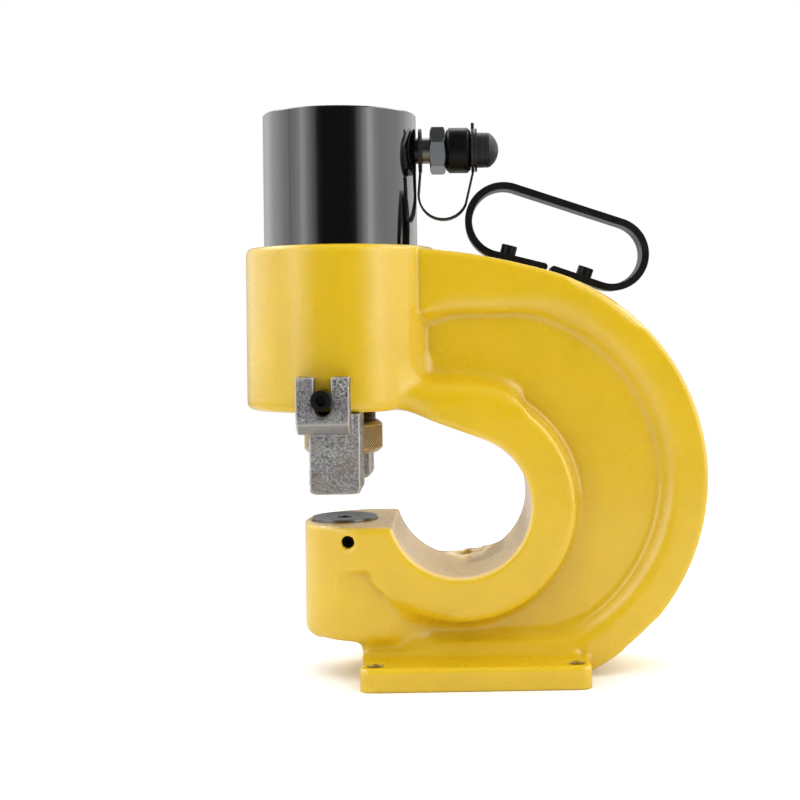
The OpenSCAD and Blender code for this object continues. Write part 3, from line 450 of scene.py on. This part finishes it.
def blasted():
    """Blasted steel; grit and edge are drawn on the feet's points"""
    material, tree, shader, where = new_material("blasted_steel")
    grit = attribute(tree, "grit")
    fine = noise(tree, where, scale=780.0, detail=4.0, rough=0.75)
    tint = smooth_step(tree, noise(tree, where, scale=75.0, detail=4.0, rough=0.6), 0.38, 0.62)
    colour = mix_colour(tree, tint, rgba(0.36, 0.355, 0.335), rgba(0.30, 0.285, 0.305))
    patch = smooth_step(tree, noise(tree, where, scale=42.0, rough=0.6), 0.50, 0.66)
    colour = mix_colour(tree, times(tree, patch, 0.5), colour, rgba(0.27, 0.225, 0.185))
    strong = noise(tree, where, scale=60.0, detail=2.0)
    strong = smooth_step(tree, strong, 0.35, 0.6, 0.45, 1.0)
    speck = math_node(tree, "SUBTRACT", smooth_step(tree, fine, 0.42, 0.58), 0.45)
    pits = math_node(tree, "ADD", 1.0, times(tree, speck, times(tree, strong, 1.6)))
    # Inputs 2 and 3 are the node's two numbers
    shade = add(tree, "Mix", {0: grit, 2: 1.15, 3: pits}, data_type="FLOAT").outputs[0]
    tones = add(tree, "CombineXYZ", {0: shade, 1: shade, 2: shade}).outputs[0]
    colour = mix_colour(tree, 1.0, colour, tones, "MULTIPLY")
    worn = linear_step(tree, attribute(tree, "edge"), 0.60, 0.85, 0.0, 0.8)
    colour = mix_colour(tree, worn, colour, rgba(0.70, 0.68, 0.66))
    rough = linear_step(tree, fine, 0.3, 0.7, 0.30, 0.52)
    coarse = bump(tree, fine, 0.00030)
    grain = bump(tree, noise(tree, where, scale=1500.0, rough=0.6), 0.00008, coarse)
    attach(tree, shader, colour=colour, rough=rough, normal=grain, metal=0.9)
    return material


def rubber(name, level):
    material, tree, shader, where = new_material(name)
    tone = noise(tree, where, scale=90.0, detail=4.0, rough=0.6)
    pale = rgba(level * 2.2, level * 2.2, level * 2.3)
    colour = mix_colour(tree, tone, grey(level), pale)
    sheen = noise(tree, where, scale=220.0, detail=4.0, rough=0.6)
    rough = linear_step(tree, sheen, 0.3, 0.7, 0.42, 0.62)
    grain = noise(tree, where, scale=1500.0, rough=0.6)
    grain = bump(tree, grain, 0.00002, rounded(tree, 0.3 * MM))
    attach(tree, shader, colour=colour, rough=rough, normal=grain)
    return material


def knurled_zinc():
    """Golden zinc; groove is drawn on the nut's points"""
    material, tree, shader, where = new_material("knurled_zinc")
    groove = attribute(tree, "groove")
    colour = mottled(tree, where, rgba(0.40, 0.325, 0.195), rgba(0.54, 0.45, 0.29))
    # Darker towards the bottom of the knurl's grooves
    groove_darkening = linear_step(tree, groove, 0.30, 0.85, 0.0, 0.95)
    colour = mix_colour(tree, groove_darkening, colour, rgba(0.06, 0.04, 0.018))
    worn = linear_step(tree, groove, 0.25, 0.0, 0.0, 0.7)
    colour = mix_colour(tree, worn, colour, rgba(0.80, 0.72, 0.55))
    rough = uneven_rough(tree, where, 0.28, 0.42)
    grain = bump(tree, noise(tree, where, scale=1100.0, rough=0.6), 0.000008)
    attach(tree, shader, colour=colour, rough=rough, normal=grain, metal=1.0)
    return material


# How far the barrel's black paint runs onto the nipple, in mm from the punch axis
PAINT_ENDS_X = (52.3, 52.9)


def nipple_steel():
    material, tree, shader, where = new_material("dull_plated_steel")
    x = add(tree, "SeparateXYZ", {0: where}).outputs[0]
    colour = mottled(tree, where, rgba(0.15, 0.152, 0.14), rgba(0.22, 0.222, 0.205))
    start, end = (AXIS_X + at * MM for at in PAINT_ENDS_X)
    painted = smooth_step(tree, x, start, end, 1.0, 0.0)
    colour = mix_colour(tree, painted, colour, rgba(0.006, 0.006, 0.007))
    metallic = math_node(tree, "SUBTRACT", 1.0, painted)
    rough = uneven_rough(tree, where, 0.28, 0.42)
    grain = bump(tree, noise(tree, where, scale=900.0, rough=0.6), 0.00001)
    attach(tree, shader, colour=colour, rough=rough, normal=grain, metal=metallic)
    return material


PAINT = yellow_paint()
GLOSS = gloss_black()
SATIN = satin_black("satin_black_paint", 0.0035, (0.20, 0.34), 700.0, 0.000006, 0.8 * MM)
OXIDE = satin_black("black_oxide", 0.0025, (0.30, 0.45), 1400.0, 0.00001, 0.5 * MM, 0.22)
# Black oxide for the die screw, made near-black as painted shade for the hole it sits in
SHADED_SCREW_OXIDE = satin_black(
    "black_oxide_painted_shade", 0.001, (0.40, 0.60), 1400.0, 0.00001, 0.5 * MM, 0.08
)
SLEEVE = satin_black("black_oxide_worn", 0.0015, (0.26, 0.42), 900.0, 0.00002, 0.6 * MM, 0.18)
RUBBER = rubber("black_rubber", 0.0045)
SEAL = rubber("black_seal", 0.006)
BLASTED = blasted()
GROUND = metal(
    "ground_steel", grey(0.50), rgba(0.66, 0.66, 0.67), (0.12, 0.24), 900.0, 0.000003,
    stretch=(1, 1, 12),
)
DARK = metal(
    "dark_steel", rgba(0.13, 0.13, 0.14), rgba(0.24, 0.24, 0.25), (0.22, 0.38), 900.0, 0.000008
)
ROD = metal(
    "dark_rod", rgba(0.028, 0.022, 0.018), rgba(0.05, 0.042, 0.036), (0.25, 0.4), 900.0, 0.000005,
    stretch=(1, 1, 10),
)
SPRING = metal(
    "spring_steel", rgba(0.22, 0.22, 0.23), rgba(0.36, 0.36, 0.37), (0.25, 0.4), 900.0, 0.000006
)
BRONZE = metal(
    "bronze", rgba(0.50, 0.33, 0.13), rgba(0.62, 0.43, 0.18), (0.22, 0.36), 900.0, 0.000006
)
KNURLED = knurled_zinc()
ZINC = metal(
    "golden_zinc", rgba(0.33, 0.26, 0.15), rgba(0.50, 0.41, 0.26), (0.30, 0.44), 1100.0, 0.000008
)
DULL = nipple_steel()
PLATED = metal(
    "plated_steel", rgba(0.175, 0.185, 0.195), rgba(0.215, 0.225, 0.235), (0.14, 0.22),
    700.0, 0.000004, 0.7 * MM,
)

DRESS = (
    (PAINT, "frame"),
    (GLOSS, "cylinder_barrel"),
    (SEAL, "barrel_seal", "piston_seal", "rod_wiper"),
    (BRONZE, "rod_guide", "wear_ring"),
    (GROUND, "piston", "valve_poppet"),
    (ROD, "ram_rod"),
    (SPRING, "return_spring", "valve_spring"),
    (ZINC, "punch_nut"),
    (DARK, "punch", "die"),
    (OXIDE, "stripper_screws", "handle_screws"),
    (SHADED_SCREW_OXIDE, "die_screw"),
    (BLASTED, "stripper_front", "stripper_rear"),
    (SATIN, "carry_handle"),
    (DULL, "port_nipple"),
    (PLATED, "coupler_body"),
    (SLEEVE, "coupler_sleeve"),
    (RUBBER, "dust_cap", "cap_loop", "cap_strap"),
)


def dress_nodes():
    for material, *names in DRESS:
        for name in names:
            mesh = nodes[name].data
            for index in range(max(1, len(mesh.materials))):
                if index < len(mesh.materials):
                    mesh.materials[index] = material
                else:
                    mesh.materials.append(material)


dress_nodes()


# Mesh helpers

WELD = 1e-6


def joined(name, *sources):
    """One mesh from several, with the points that lie on each other made one"""
    bm = bmesh.new()
    for source in sources:
        bm.from_mesh(source)
    bmesh.ops.remove_doubles(bm, verts=bm.verts, dist=WELD)
    result = bpy.data.meshes.new(name)
    bm.to_mesh(result)
    bm.free()
    return result


def remeshed(node, name, voxel):
    """A node's mesh as an even skin of small squares"""
    source = bpy.data.objects.new(name + "_source", joined(node + "_welded", nodes[node].data))
    scene.collection.objects.link(source)
    modifier = source.modifiers.new("remesh", "REMESH")
    modifier.mode = "VOXEL"
    modifier.voxel_size = voxel
    modifier.adaptivity = 0.0
    bpy.context.view_layer.update()
    graph = bpy.context.evaluated_depsgraph_get()
    mesh = bpy.data.meshes.new_from_object(source.evaluated_get(graph))
    bpy.data.objects.remove(source)
    mesh.name = name
    mesh.materials.clear()
    return mesh


def points_of(mesh):
    co = np.empty(len(mesh.vertices) * 3)
    mesh.vertices.foreach_get("co", co)
    return co.reshape(-1, 3)


def set_points(mesh, co):
    mesh.vertices.foreach_set("co", co.astype(np.float32).ravel())
    mesh.update()


def normals_of(mesh):
    normals = np.empty(len(mesh.vertices) * 3)
    mesh.vertices.foreach_get("normal", normals)
    return normals.reshape(-1, 3)


def links_of(mesh):
    ends = np.empty(len(mesh.edges) * 2, np.int64)
    mesh.edges.foreach_get("vertices", ends)
    return ends.reshape(-1, 2)


def degree_of(co, ends):
    return np.bincount(ends.ravel(), minlength=len(co)).astype(float)


def mean_of_neighbours(values, ends, degree):
    count = len(values)
    total = np.zeros_like(values)
    for column in range(values.shape[1]):
        total[:, column] = np.bincount(ends[:, 0], values[ends[:, 1], column], count)
        total[:, column] += np.bincount(ends[:, 1], values[ends[:, 0], column], count)
    return total / degree[:, None]


def relax(co, ends, weight, rounds):
    """Moves each point halfway to its neighbours' mean, times its weight, in each round"""
    degree = degree_of(co, ends)
    for _ in range(rounds):
        co = co + 0.5 * weight[:, None] * (mean_of_neighbours(co, ends, degree) - co)
    return co


def uneven(co, ends, rounds, seed):
    """Random heights that the rounds blend into their neighbours, with a spread of 1"""
    values = np.random.default_rng(seed).standard_normal((len(co), 1))
    degree = degree_of(co, ends)
    for _ in range(rounds):
        values = mean_of_neighbours(values, ends, degree)
    return values[:, 0] / values[:, 0].std()


def keep_value(mesh, name, values):
    kept = mesh.attributes.new(name, "FLOAT", "POINT")
    kept.data.foreach_set("value", values.astype(np.float32))


def edge_tone(mesh, rounds):
    """Keeps 0.5 for flat places, more for outer edges and less for inner corners"""
    co = points_of(mesh)
    ends = links_of(mesh)
    degree = degree_of(co, ends)
    pull = mean_of_neighbours(co, ends, degree) - co
    bend = -(pull * normals_of(mesh)).sum(1)[:, None]
    for _ in range(rounds):
        bend = mean_of_neighbours(bend, ends, degree)
    strong = np.percentile(np.abs(bend), 99.0)
    keep_value(mesh, "edge", np.clip(0.5 + 0.5 * bend[:, 0] / strong, 0.0, 1.0))


def smooth_all(mesh):
    mesh.polygons.foreach_set("use_smooth", np.ones(len(mesh.polygons), bool))
    mesh.update()


def place(mesh, name, material, body, replaced):
    mesh.materials.append(material)
    piece = bpy.data.objects.new(name, mesh)
    scene.collection.objects.link(piece)
    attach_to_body(piece, body)
    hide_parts(replaced)
    return piece


# Zones of a mesh. A zone names measures in mm and their limits; a point's share in it
# rises from 0 to 1 over the first two values, and falls back over the last two.

def above(start, full):
    return start, full, None, None


def below(fade, end):
    return None, None, fade, end


def between(value, low, high):
    return np.clip((value - low) / (high - low), 0.0, 1.0)


def zone(measures, limits):
    share = 1.0
    for name, (start, full, fade, end) in limits.items():
        if full is not None:
            share = share * between(measures[name], start, full)
        if fade is not None:
            share = share * (1.0 - between(measures[name], fade, end))
    return share


def from_point(x, z, point):
    return np.hypot(x - point[0], z - point[1])


def measures_of(co):
    """Places in mm: x from the punch axis, y from the middle plane on either side, z up"""
    x = (co[:, 0] - AXIS_X) / MM
    y = np.abs(co[:, 1]) / MM
    z = co[:, 2] / MM
    return {
        "x": x,
        "y": y,
        "z": z,
        "far_y": co[:, 1] / MM,
        "from_axis": np.hypot(x, y),
        "from_throat": from_point(x, z, THROAT_CENTRE),
        "from_back": from_point(x, z, BACK_CENTRE),
        "from_die_screw": from_point(x, z, DIE_SCREW_AT),
        "from_base_hole": np.minimum(
            *(from_point(x, y, (hole_x, BASE_HOLE_Y)) for hole_x in BASE_HOLES_X)
        ),
        "from_slot_line": np.abs(x - LEG_X),
        "from_slot": np.where(
            z > SLOT_LOW_Z, np.abs(x - LEG_X), from_point(x, z, (LEG_X, SLOT_LOW_Z))
        ),
    }


# The frame casting, with the soft fillets of sand casting under paint

CASTING_VOXEL = 1.3 * MM

# Machined places, which stay crisp
CYLINDER_SEAT = {"from_axis": below(50.0, 53.0), "z": above(140.0, 150.0)}
DIE_SEAT = {"from_axis": below(22.0, 25.0), "z": below(97.0, 100.0)}
UNDERSIDE = {"z": below(3.0, 8.0)}
DIE_SCREW_HOLE = {"from_die_screw": below(6.0, 8.0), "y": above(15.0, 20.0)}
BASE_HOLE_MOUTHS = {"from_base_hole": below(7.0, 9.0), "z": below(22.0, 26.0)}
CRISP = (CYLINDER_SEAT, DIE_SEAT, UNDERSIDE, DIE_SCREW_HOLE, BASE_HOLE_MOUTHS)
CRISP_SHARE = 0.9

# Places that are rounded further, each with its rounds. The rim and the pocket's upper edge
# roll over widely into the wall, while the corner at the wall's foot stays tight.
RIM = {
    "y": above(28.0, 30.5),
    "from_back": (100.0, 104.0, 121.0, 125.0),
    "x": above(62.0, 70.0),
    "z": above(26.0, 30.0),
}
POCKET_TOP = {
    "y": above(28.0, 30.5),
    "z": (212.0, 216.0, 240.0, 244.0),
    "x": above(56.0, 62.0),
}
BOSS_FLANGE = {
    "x": (30.0, 38.0, 104.0, 114.0),
    "z": (158.0, 166.0, 192.0, 200.0),
    "y": below(46.0, 47.0),
    "from_throat": above(52.0, 60.0),
}
RING_FOOT = {
    "from_throat": (58.0, 62.0, 76.0, 82.0),
    "y": above(27.0, 29.0),
    "z": below(60.0, 80.0),
    "x": above(26.0, 36.0),
}
JAW_CORNER = {
    "x": (30.0, 38.0, 62.0, 72.0),
    "z": (22.0, 26.0, 44.0, 50.0),
    "y": (20.0, 24.0, 44.5, 46.0),
}
WEB_HEEL = {
    "y": (22.0, 25.0, 42.0, 46.0),
    "z": (15.0, 17.0, 30.0, 36.0),
    "from_base_hole": above(7.0, 11.0),
}
ROUNDED = (
    (RIM, 50), (POCKET_TOP, 50), (BOSS_FLANGE, 140), (RING_FOOT, 30), (JAW_CORNER, 60),
    (WEB_HEEL, 40),
)

# A rough lip of paint on the far side of the throat
LIP = {
    "far_y": above(35.0, 40.0),
    "x": (58.0, 74.0, 86.0, 100.0),
    "z": below(80.0, 90.0),
    "from_throat": below(44.0, 50.0),
}
LIP_HEIGHT = 3.0
LIP_ROUGHNESS = 0.5
LIP_ROUNDS = 5
LIP_SEED = 5

# Painted pale reflection on the throat wall and jaw top, paint sprayed over the throat's far side,
# darker lines along the rim and the lip, and painted shade inside the base holes
PALE_REFLECTION_WALL = {"from_throat": below(43.6, 44.6), "z": (60.0, 62.0, 150.0, 156.0)}
PALE_REFLECTION_JAW_TOP = {"z": (94.0, 94.4, 95.2, 95.8), "x": below(34.0, 36.0)}
OVERSPRAY = {
    "far_y": above(0.0, 10.0),
    "x": (76.0, 80.0, 100.0, 106.0),
    "z": below(72.0, 78.0),
    "from_throat": below(44.0, 45.0),
}
# Darker line along the throat's far rim and at the foot of the lip
DARK_RIM_LINE = {"far_y": above(35.0, 39.0), "z": below(84.0, 92.0), "from_throat": below(44.5, 45.5)}
BASE_HOLE_WALLS = {"from_base_hole": below(4.9, 5.3), "z": below(20.0, 22.0)}
RIM_LINE_DARKNESS = 0.8
OVERSPRAY_GRIME = 0.45
FRINGE_DARKNESS = 0.4
HOLE_SHADE = 0.8


def squared_rim(co, m):
    """Turns the wide rounding along the arm's top and the back into a tighter one"""
    on_arm = m["x"] < ARM_MEETS_BACK_X
    centre_x = np.where(on_arm, ARM_CENTRE[0], BACK_CENTRE[0])
    centre_z = np.where(on_arm, ARM_CENTRE[1], BACK_CENTRE[1])
    reach = np.where(on_arm, ARM_R, BACK_R)
    out_x = m["x"] - centre_x
    out_z = m["z"] - centre_z
    length = np.hypot(out_x, out_z)
    across = np.maximum(RIM_EDGE_R - (RIM_HALF_T - m["y"]), 0.0)
    outward = np.maximum(RIM_EDGE_R - (reach - length), 0.0)
    size = np.hypot(across, outward)
    here = (across > 0.0) & (outward > 0.0) & (np.abs(size - RIM_EDGE_R) < 1.5)
    here &= (m["from_axis"] > BOSS_R + 1.0) & (m["z"] > 24.0)
    safe = np.maximum(size, 0.001)
    # A circle of power 4 has tighter corners than a round one
    grow = (1.0 / ((across / safe) ** 4 + (outward / safe) ** 4 + 1e-9)) ** 0.25
    gain = np.where(here, grow - 1.0, 0.0)
    step = gain * outward / np.maximum(length, 1.0) * MM
    moved = co.copy()
    moved[:, 0] += step * out_x
    moved[:, 2] += step * out_z
    moved[:, 1] += np.sign(co[:, 1]) * gain * across * MM
    return moved


def sharp_junction(co, m):
    """The boss and the arm's side meet in a plain corner"""
    past_boss = m["from_axis"] - BOSS_R
    past_rim = m["y"] - RIM_HALF_T
    here = (m["x"] > 30.0) & (m["z"] > 225.0) & (m["z"] < 262.0)
    here &= (np.abs(past_boss) < 5.0) & (np.abs(past_rim) < 4.0)
    on_boss = here & (past_boss < past_rim)
    on_arm = here & ~on_boss
    moved = co.copy()
    grow = BOSS_R / m["from_axis"]
    side = np.sign(co[:, 1])
    moved[on_boss, 0] = AXIS_X + (m["x"] * grow * MM)[on_boss]
    moved[on_boss, 1] = (side * m["y"] * grow * MM)[on_boss]
    moved[on_arm, 1] = (side * RIM_HALF_T * MM)[on_arm]
    return moved


def raise_lip(co, ends, m, lip):
    height = lip * (LIP_HEIGHT + LIP_ROUGHNESS * uneven(co, ends, LIP_ROUNDS, LIP_SEED)) * MM
    safe = np.maximum(m["from_throat"], 1.0)
    co[:, 0] -= height * (m["x"] - THROAT_CENTRE[0]) / safe
    co[:, 2] -= height * (m["z"] - THROAT_CENTRE[1]) / safe


def mark_paint(mesh, m, lip):
    overspray = zone(m, OVERSPRAY)
    painted_lip = between(lip, 0.05, 0.2) * between(m["x"], 68.0, 71.0)
    painted = np.maximum(overspray, painted_lip)
    # Painted pale reflection on the throat wall, where it is not sprayed over, and on the jaw top
    wall = zone(m, PALE_REFLECTION_WALL) * (1.0 - painted)
    keep_value(mesh, "painted_reflection", np.maximum(wall, zone(m, PALE_REFLECTION_JAW_TOP)))
    fringe = between(lip, 0.02, 0.12) * (1.0 - between(lip, 0.3, 0.6))
    rim_line = zone(m, DARK_RIM_LINE) * (1.0 - between(lip, 0.1, 0.3))
    # Darker marks: darker rim and lip-fringe lines, brown overspray, and painted shade inside the
    # base holes
    grime_and_shade = (
        rim_line * RIM_LINE_DARKNESS,
        overspray * OVERSPRAY_GRIME,
        fringe * FRINGE_DARKNESS,
        zone(m, BASE_HOLE_WALLS) * HOLE_SHADE,
    )
    keep_value(mesh, "grime_and_shade", np.maximum.reduce(grime_and_shade))


def make_casting():
    mesh = remeshed("frame", "frame_casting", CASTING_VOXEL)
    co = points_of(mesh)
    ends = links_of(mesh)
    m = measures_of(co)
    soft = 1.0 - CRISP_SHARE * np.maximum.reduce([zone(m, limits) for limits in CRISP])
    co = relax(co, ends, soft, 3)
    co = squared_rim(co, m)
    co = relax(co, ends, soft, 1)
    co = sharp_junction(co, measures_of(co))
    for limits, rounds in ROUNDED:
        co = relax(co, ends, soft * zone(m, limits), rounds)
    lip = zone(m, LIP)
    raise_lip(co, ends, m, lip)
    set_points(mesh, co)
    smooth_all(mesh)
    edge_tone(mesh, 2)
    mark_paint(mesh, m, lip)
    place(mesh, "frame_casting", PAINT, "frame_body", "frame")


make_casting()


# The stripper feet

FOOT_VOXEL = 0.6 * MM
LEG_BEVEL = {"y": above(59.0, 61.0), "z": below(159.0, 162.0)}
LEG_EDGE = {"y": above(60.0, 63.0), "z": below(163.0, 167.0)}
LEG_SEAT = {"z": above(163.0, 164.0), "from_axis": below(61.5, 63.0)}
SLOT_MOUTH = {"from_slot": below(5.0, 7.6), "y": above(66.0, 69.0), "z": below(171.0, 174.0)}
SLOT_WALLS = {"from_slot_line": below(5.6, 6.6), "z": above(162.0, 164.0)}
SLOT_MOUTH_DEPTH = 1.6
LEG_FROM_Y = 50.0


def screw_path_clear(m):
    """0 where the screw's head slides on the leg, 1 elsewhere"""
    beside = between(m["from_slot_line"], 7.0, 8.5)
    under = 1.0 - between(m["z"], 158.0, 162.0)
    return np.where(m["y"] > LEG_FROM_Y, np.minimum(beside + under, 1.0), 1.0)


def make_foot(node, body, seed):
    mesh = remeshed(node, node + "_casting", FOOT_VOXEL)
    co = points_of(mesh)
    ends = links_of(mesh)
    co = relax(co, ends, np.ones(len(co)), 3)
    set_points(mesh, co)
    edge_tone(mesh, 2)
    m = measures_of(co)
    co = relax(co, ends, zone(m, LEG_EDGE), 14)
    co[:, 1] -= np.sign(co[:, 1]) * zone(m, SLOT_MOUTH) * SLOT_MOUTH_DEPTH * MM
    set_points(mesh, co)
    plain = (0.85 * zone(m, LEG_BEVEL), zone(m, LEG_SEAT), 0.6 * zone(m, SLOT_WALLS))
    grit = 1.0 - np.maximum.reduce(plain)
    rise = 0.10 * uneven(co, ends, 1, seed) + 0.12 * uneven(co, ends, 7, seed + 1)
    rise = rise * screw_path_clear(m)
    set_points(mesh, co + normals_of(mesh) * (rise * grit * MM)[:, None])
    keep_value(mesh, "grit", grit)
    smooth_all(mesh)
    place(mesh, node + "_casting", BLASTED, body, node)


# The punch nut, with its knurl cut into the mesh

KNURL_TURNS = 86
KNURL_PITCH = 1.8
KNURL_DEPTH = 0.5
KNURL_FLAT = 1.7
KNURL_ROWS = 74
KNURL_RUNOUT_ROWS = 3.0
POINTS_PER_DIAMOND = 8
NUT_CHAMFER = 2.4
KNURL_FROM_END = 2.6
NO_KNURL = 0.3


def knurl(angle, height):
    """Depth of the crossed grooves, 0 on the flats of the diamonds between them"""
    along = angle * KNURL_TURNS / (2.0 * math.pi)
    first = np.abs(2.0 * np.mod(along + height / KNURL_PITCH, 1.0) - 1.0)
    second = np.abs(2.0 * np.mod(along - height / KNURL_PITCH, 1.0) - 1.0)
    return KNURL_DEPTH * (np.minimum(KNURL_FLAT * np.minimum(first, second), 1.0) - 1.0)


def revolve(rings, segments, wave):
    """Closed skin round the punch axis from rows of (radius, height, share of the wave)"""
    angle = np.arange(segments) * 2.0 * math.pi / segments
    points = []
    for radius, height, share in rings:
        r = np.full(segments, radius)
        if share > 0.0:
            r = r + share * wave(angle, height)
        row = [AXIS_X / MM + r * np.cos(angle), r * np.sin(angle), np.full(segments, height)]
        points.append(np.stack(row, 1))
    co = np.concatenate(points) * MM
    faces = []
    count = len(rings)
    for row in range(count):
        low = row * segments
        high = ((row + 1) % count) * segments
        for k in range(segments):
            n = (k + 1) % segments
            faces.append((low + k, low + n, high + n, high + k))
    return co, faces


def nut_rings():
    low, high, outer = NUT_LOW_Z, NUT_HIGH_Z, NUT_R
    hole, bore, floor = NUT_HOLE_R, NUT_BORE_R, NUT_LOW_Z + NUT_FLOOR_T
    rings = [
        (hole, low + 0.3, 0), (hole + 0.3, low, 0),
        (outer - 2.6, low, 0), (outer - NUT_CHAMFER, low + 0.12, 0),
    ]
    for share in (0.35, 0.7, 1.0):
        rings.append((outer - 2.3 * (1.0 - share), low + 0.15 + 2.25 * share, 0))
    for row in range(KNURL_ROWS + 1):
        run = high - low - 2.0 * KNURL_FROM_END
        height = low + KNURL_FROM_END + run * row / KNURL_ROWS
        from_end = min(row, KNURL_ROWS - row) / KNURL_RUNOUT_ROWS
        rings.append((outer, height, min(1.0, from_end)))
    for share in (1.0, 0.7, 0.35):
        rings.append((outer - 2.3 * (1.0 - share), high - 0.15 - 2.25 * share, 0))
    rings += [
        (outer - NUT_CHAMFER, high - 0.12, 0), (outer - 2.6, high, 0),
        (bore + 0.5, high, 0), (bore, high - 0.5, 0),
        (bore, floor + 0.2, 0), (bore - 0.2, floor, 0), (hole, floor, 0),
    ]
    return rings


def make_nut():
    co, faces = revolve(nut_rings(), KNURL_TURNS * POINTS_PER_DIAMOND, knurl)
    mesh = bpy.data.meshes.new("knurled_nut")
    mesh.from_pydata(co.tolist(), [], faces)
    mesh.update()
    bm = bmesh.new()
    bm.from_mesh(mesh)
    bmesh.ops.recalc_face_normals(bm, faces=bm.faces)
    bm.to_mesh(mesh)
    bm.free()
    smooth_all(mesh)
    height = co[:, 2] / MM
    radius = np.hypot(co[:, 0] / MM - AXIS_X / MM, co[:, 1] / MM)
    knurled = (height > NUT_LOW_Z + 2.5) & (height < NUT_HIGH_Z - 2.5) & (radius > NUT_R - 0.6)
    groove = between(NUT_R - radius, 0.0, KNURL_DEPTH)
    keep_value(mesh, "groove", np.where(knurled, groove, NO_KNURL))
    place(mesh, "knurled_nut", KNURLED, "nut", "punch_nut")


# The strap and its loop as one rubber piece with softened edges

SHARP_ANGLE = 0.7


def make_strap():
    mesh = joined("rubber_strap", nodes["cap_strap"].data, nodes["cap_loop"].data)
    mesh.materials.clear()
    smooth_all(mesh)
    mesh.set_sharp_from_angle(angle=SHARP_ANGLE)
    mesh.materials.append(RUBBER)
    piece = bpy.data.objects.new("rubber_strap", mesh)
    scene.collection.objects.link(piece)
    edges = piece.modifiers.new("edges", "BEVEL")
    edges.width = 0.25 * MM
    edges.segments = 2
    edges.limit_method = "ANGLE"
    edges.angle_limit = SHARP_ANGLE
    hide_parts("cap_strap", "cap_loop")
    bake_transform(piece)


# The return spring as a piece of its own, riding the frame body

def make_spring():
    mesh = nodes["return_spring"].data.copy()
    mesh.name = "coil_spring"
    mesh.materials.clear()
    height = points_of(mesh)[:, 2]
    piece = place(mesh, "coil_spring", SPRING, "frame_body", "return_spring")
    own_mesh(piece)


make_strap()
make_spring()
make_foot("stripper_front", "foot_front", 11)
make_foot("stripper_rear", "foot_rear", 23)
make_nut()
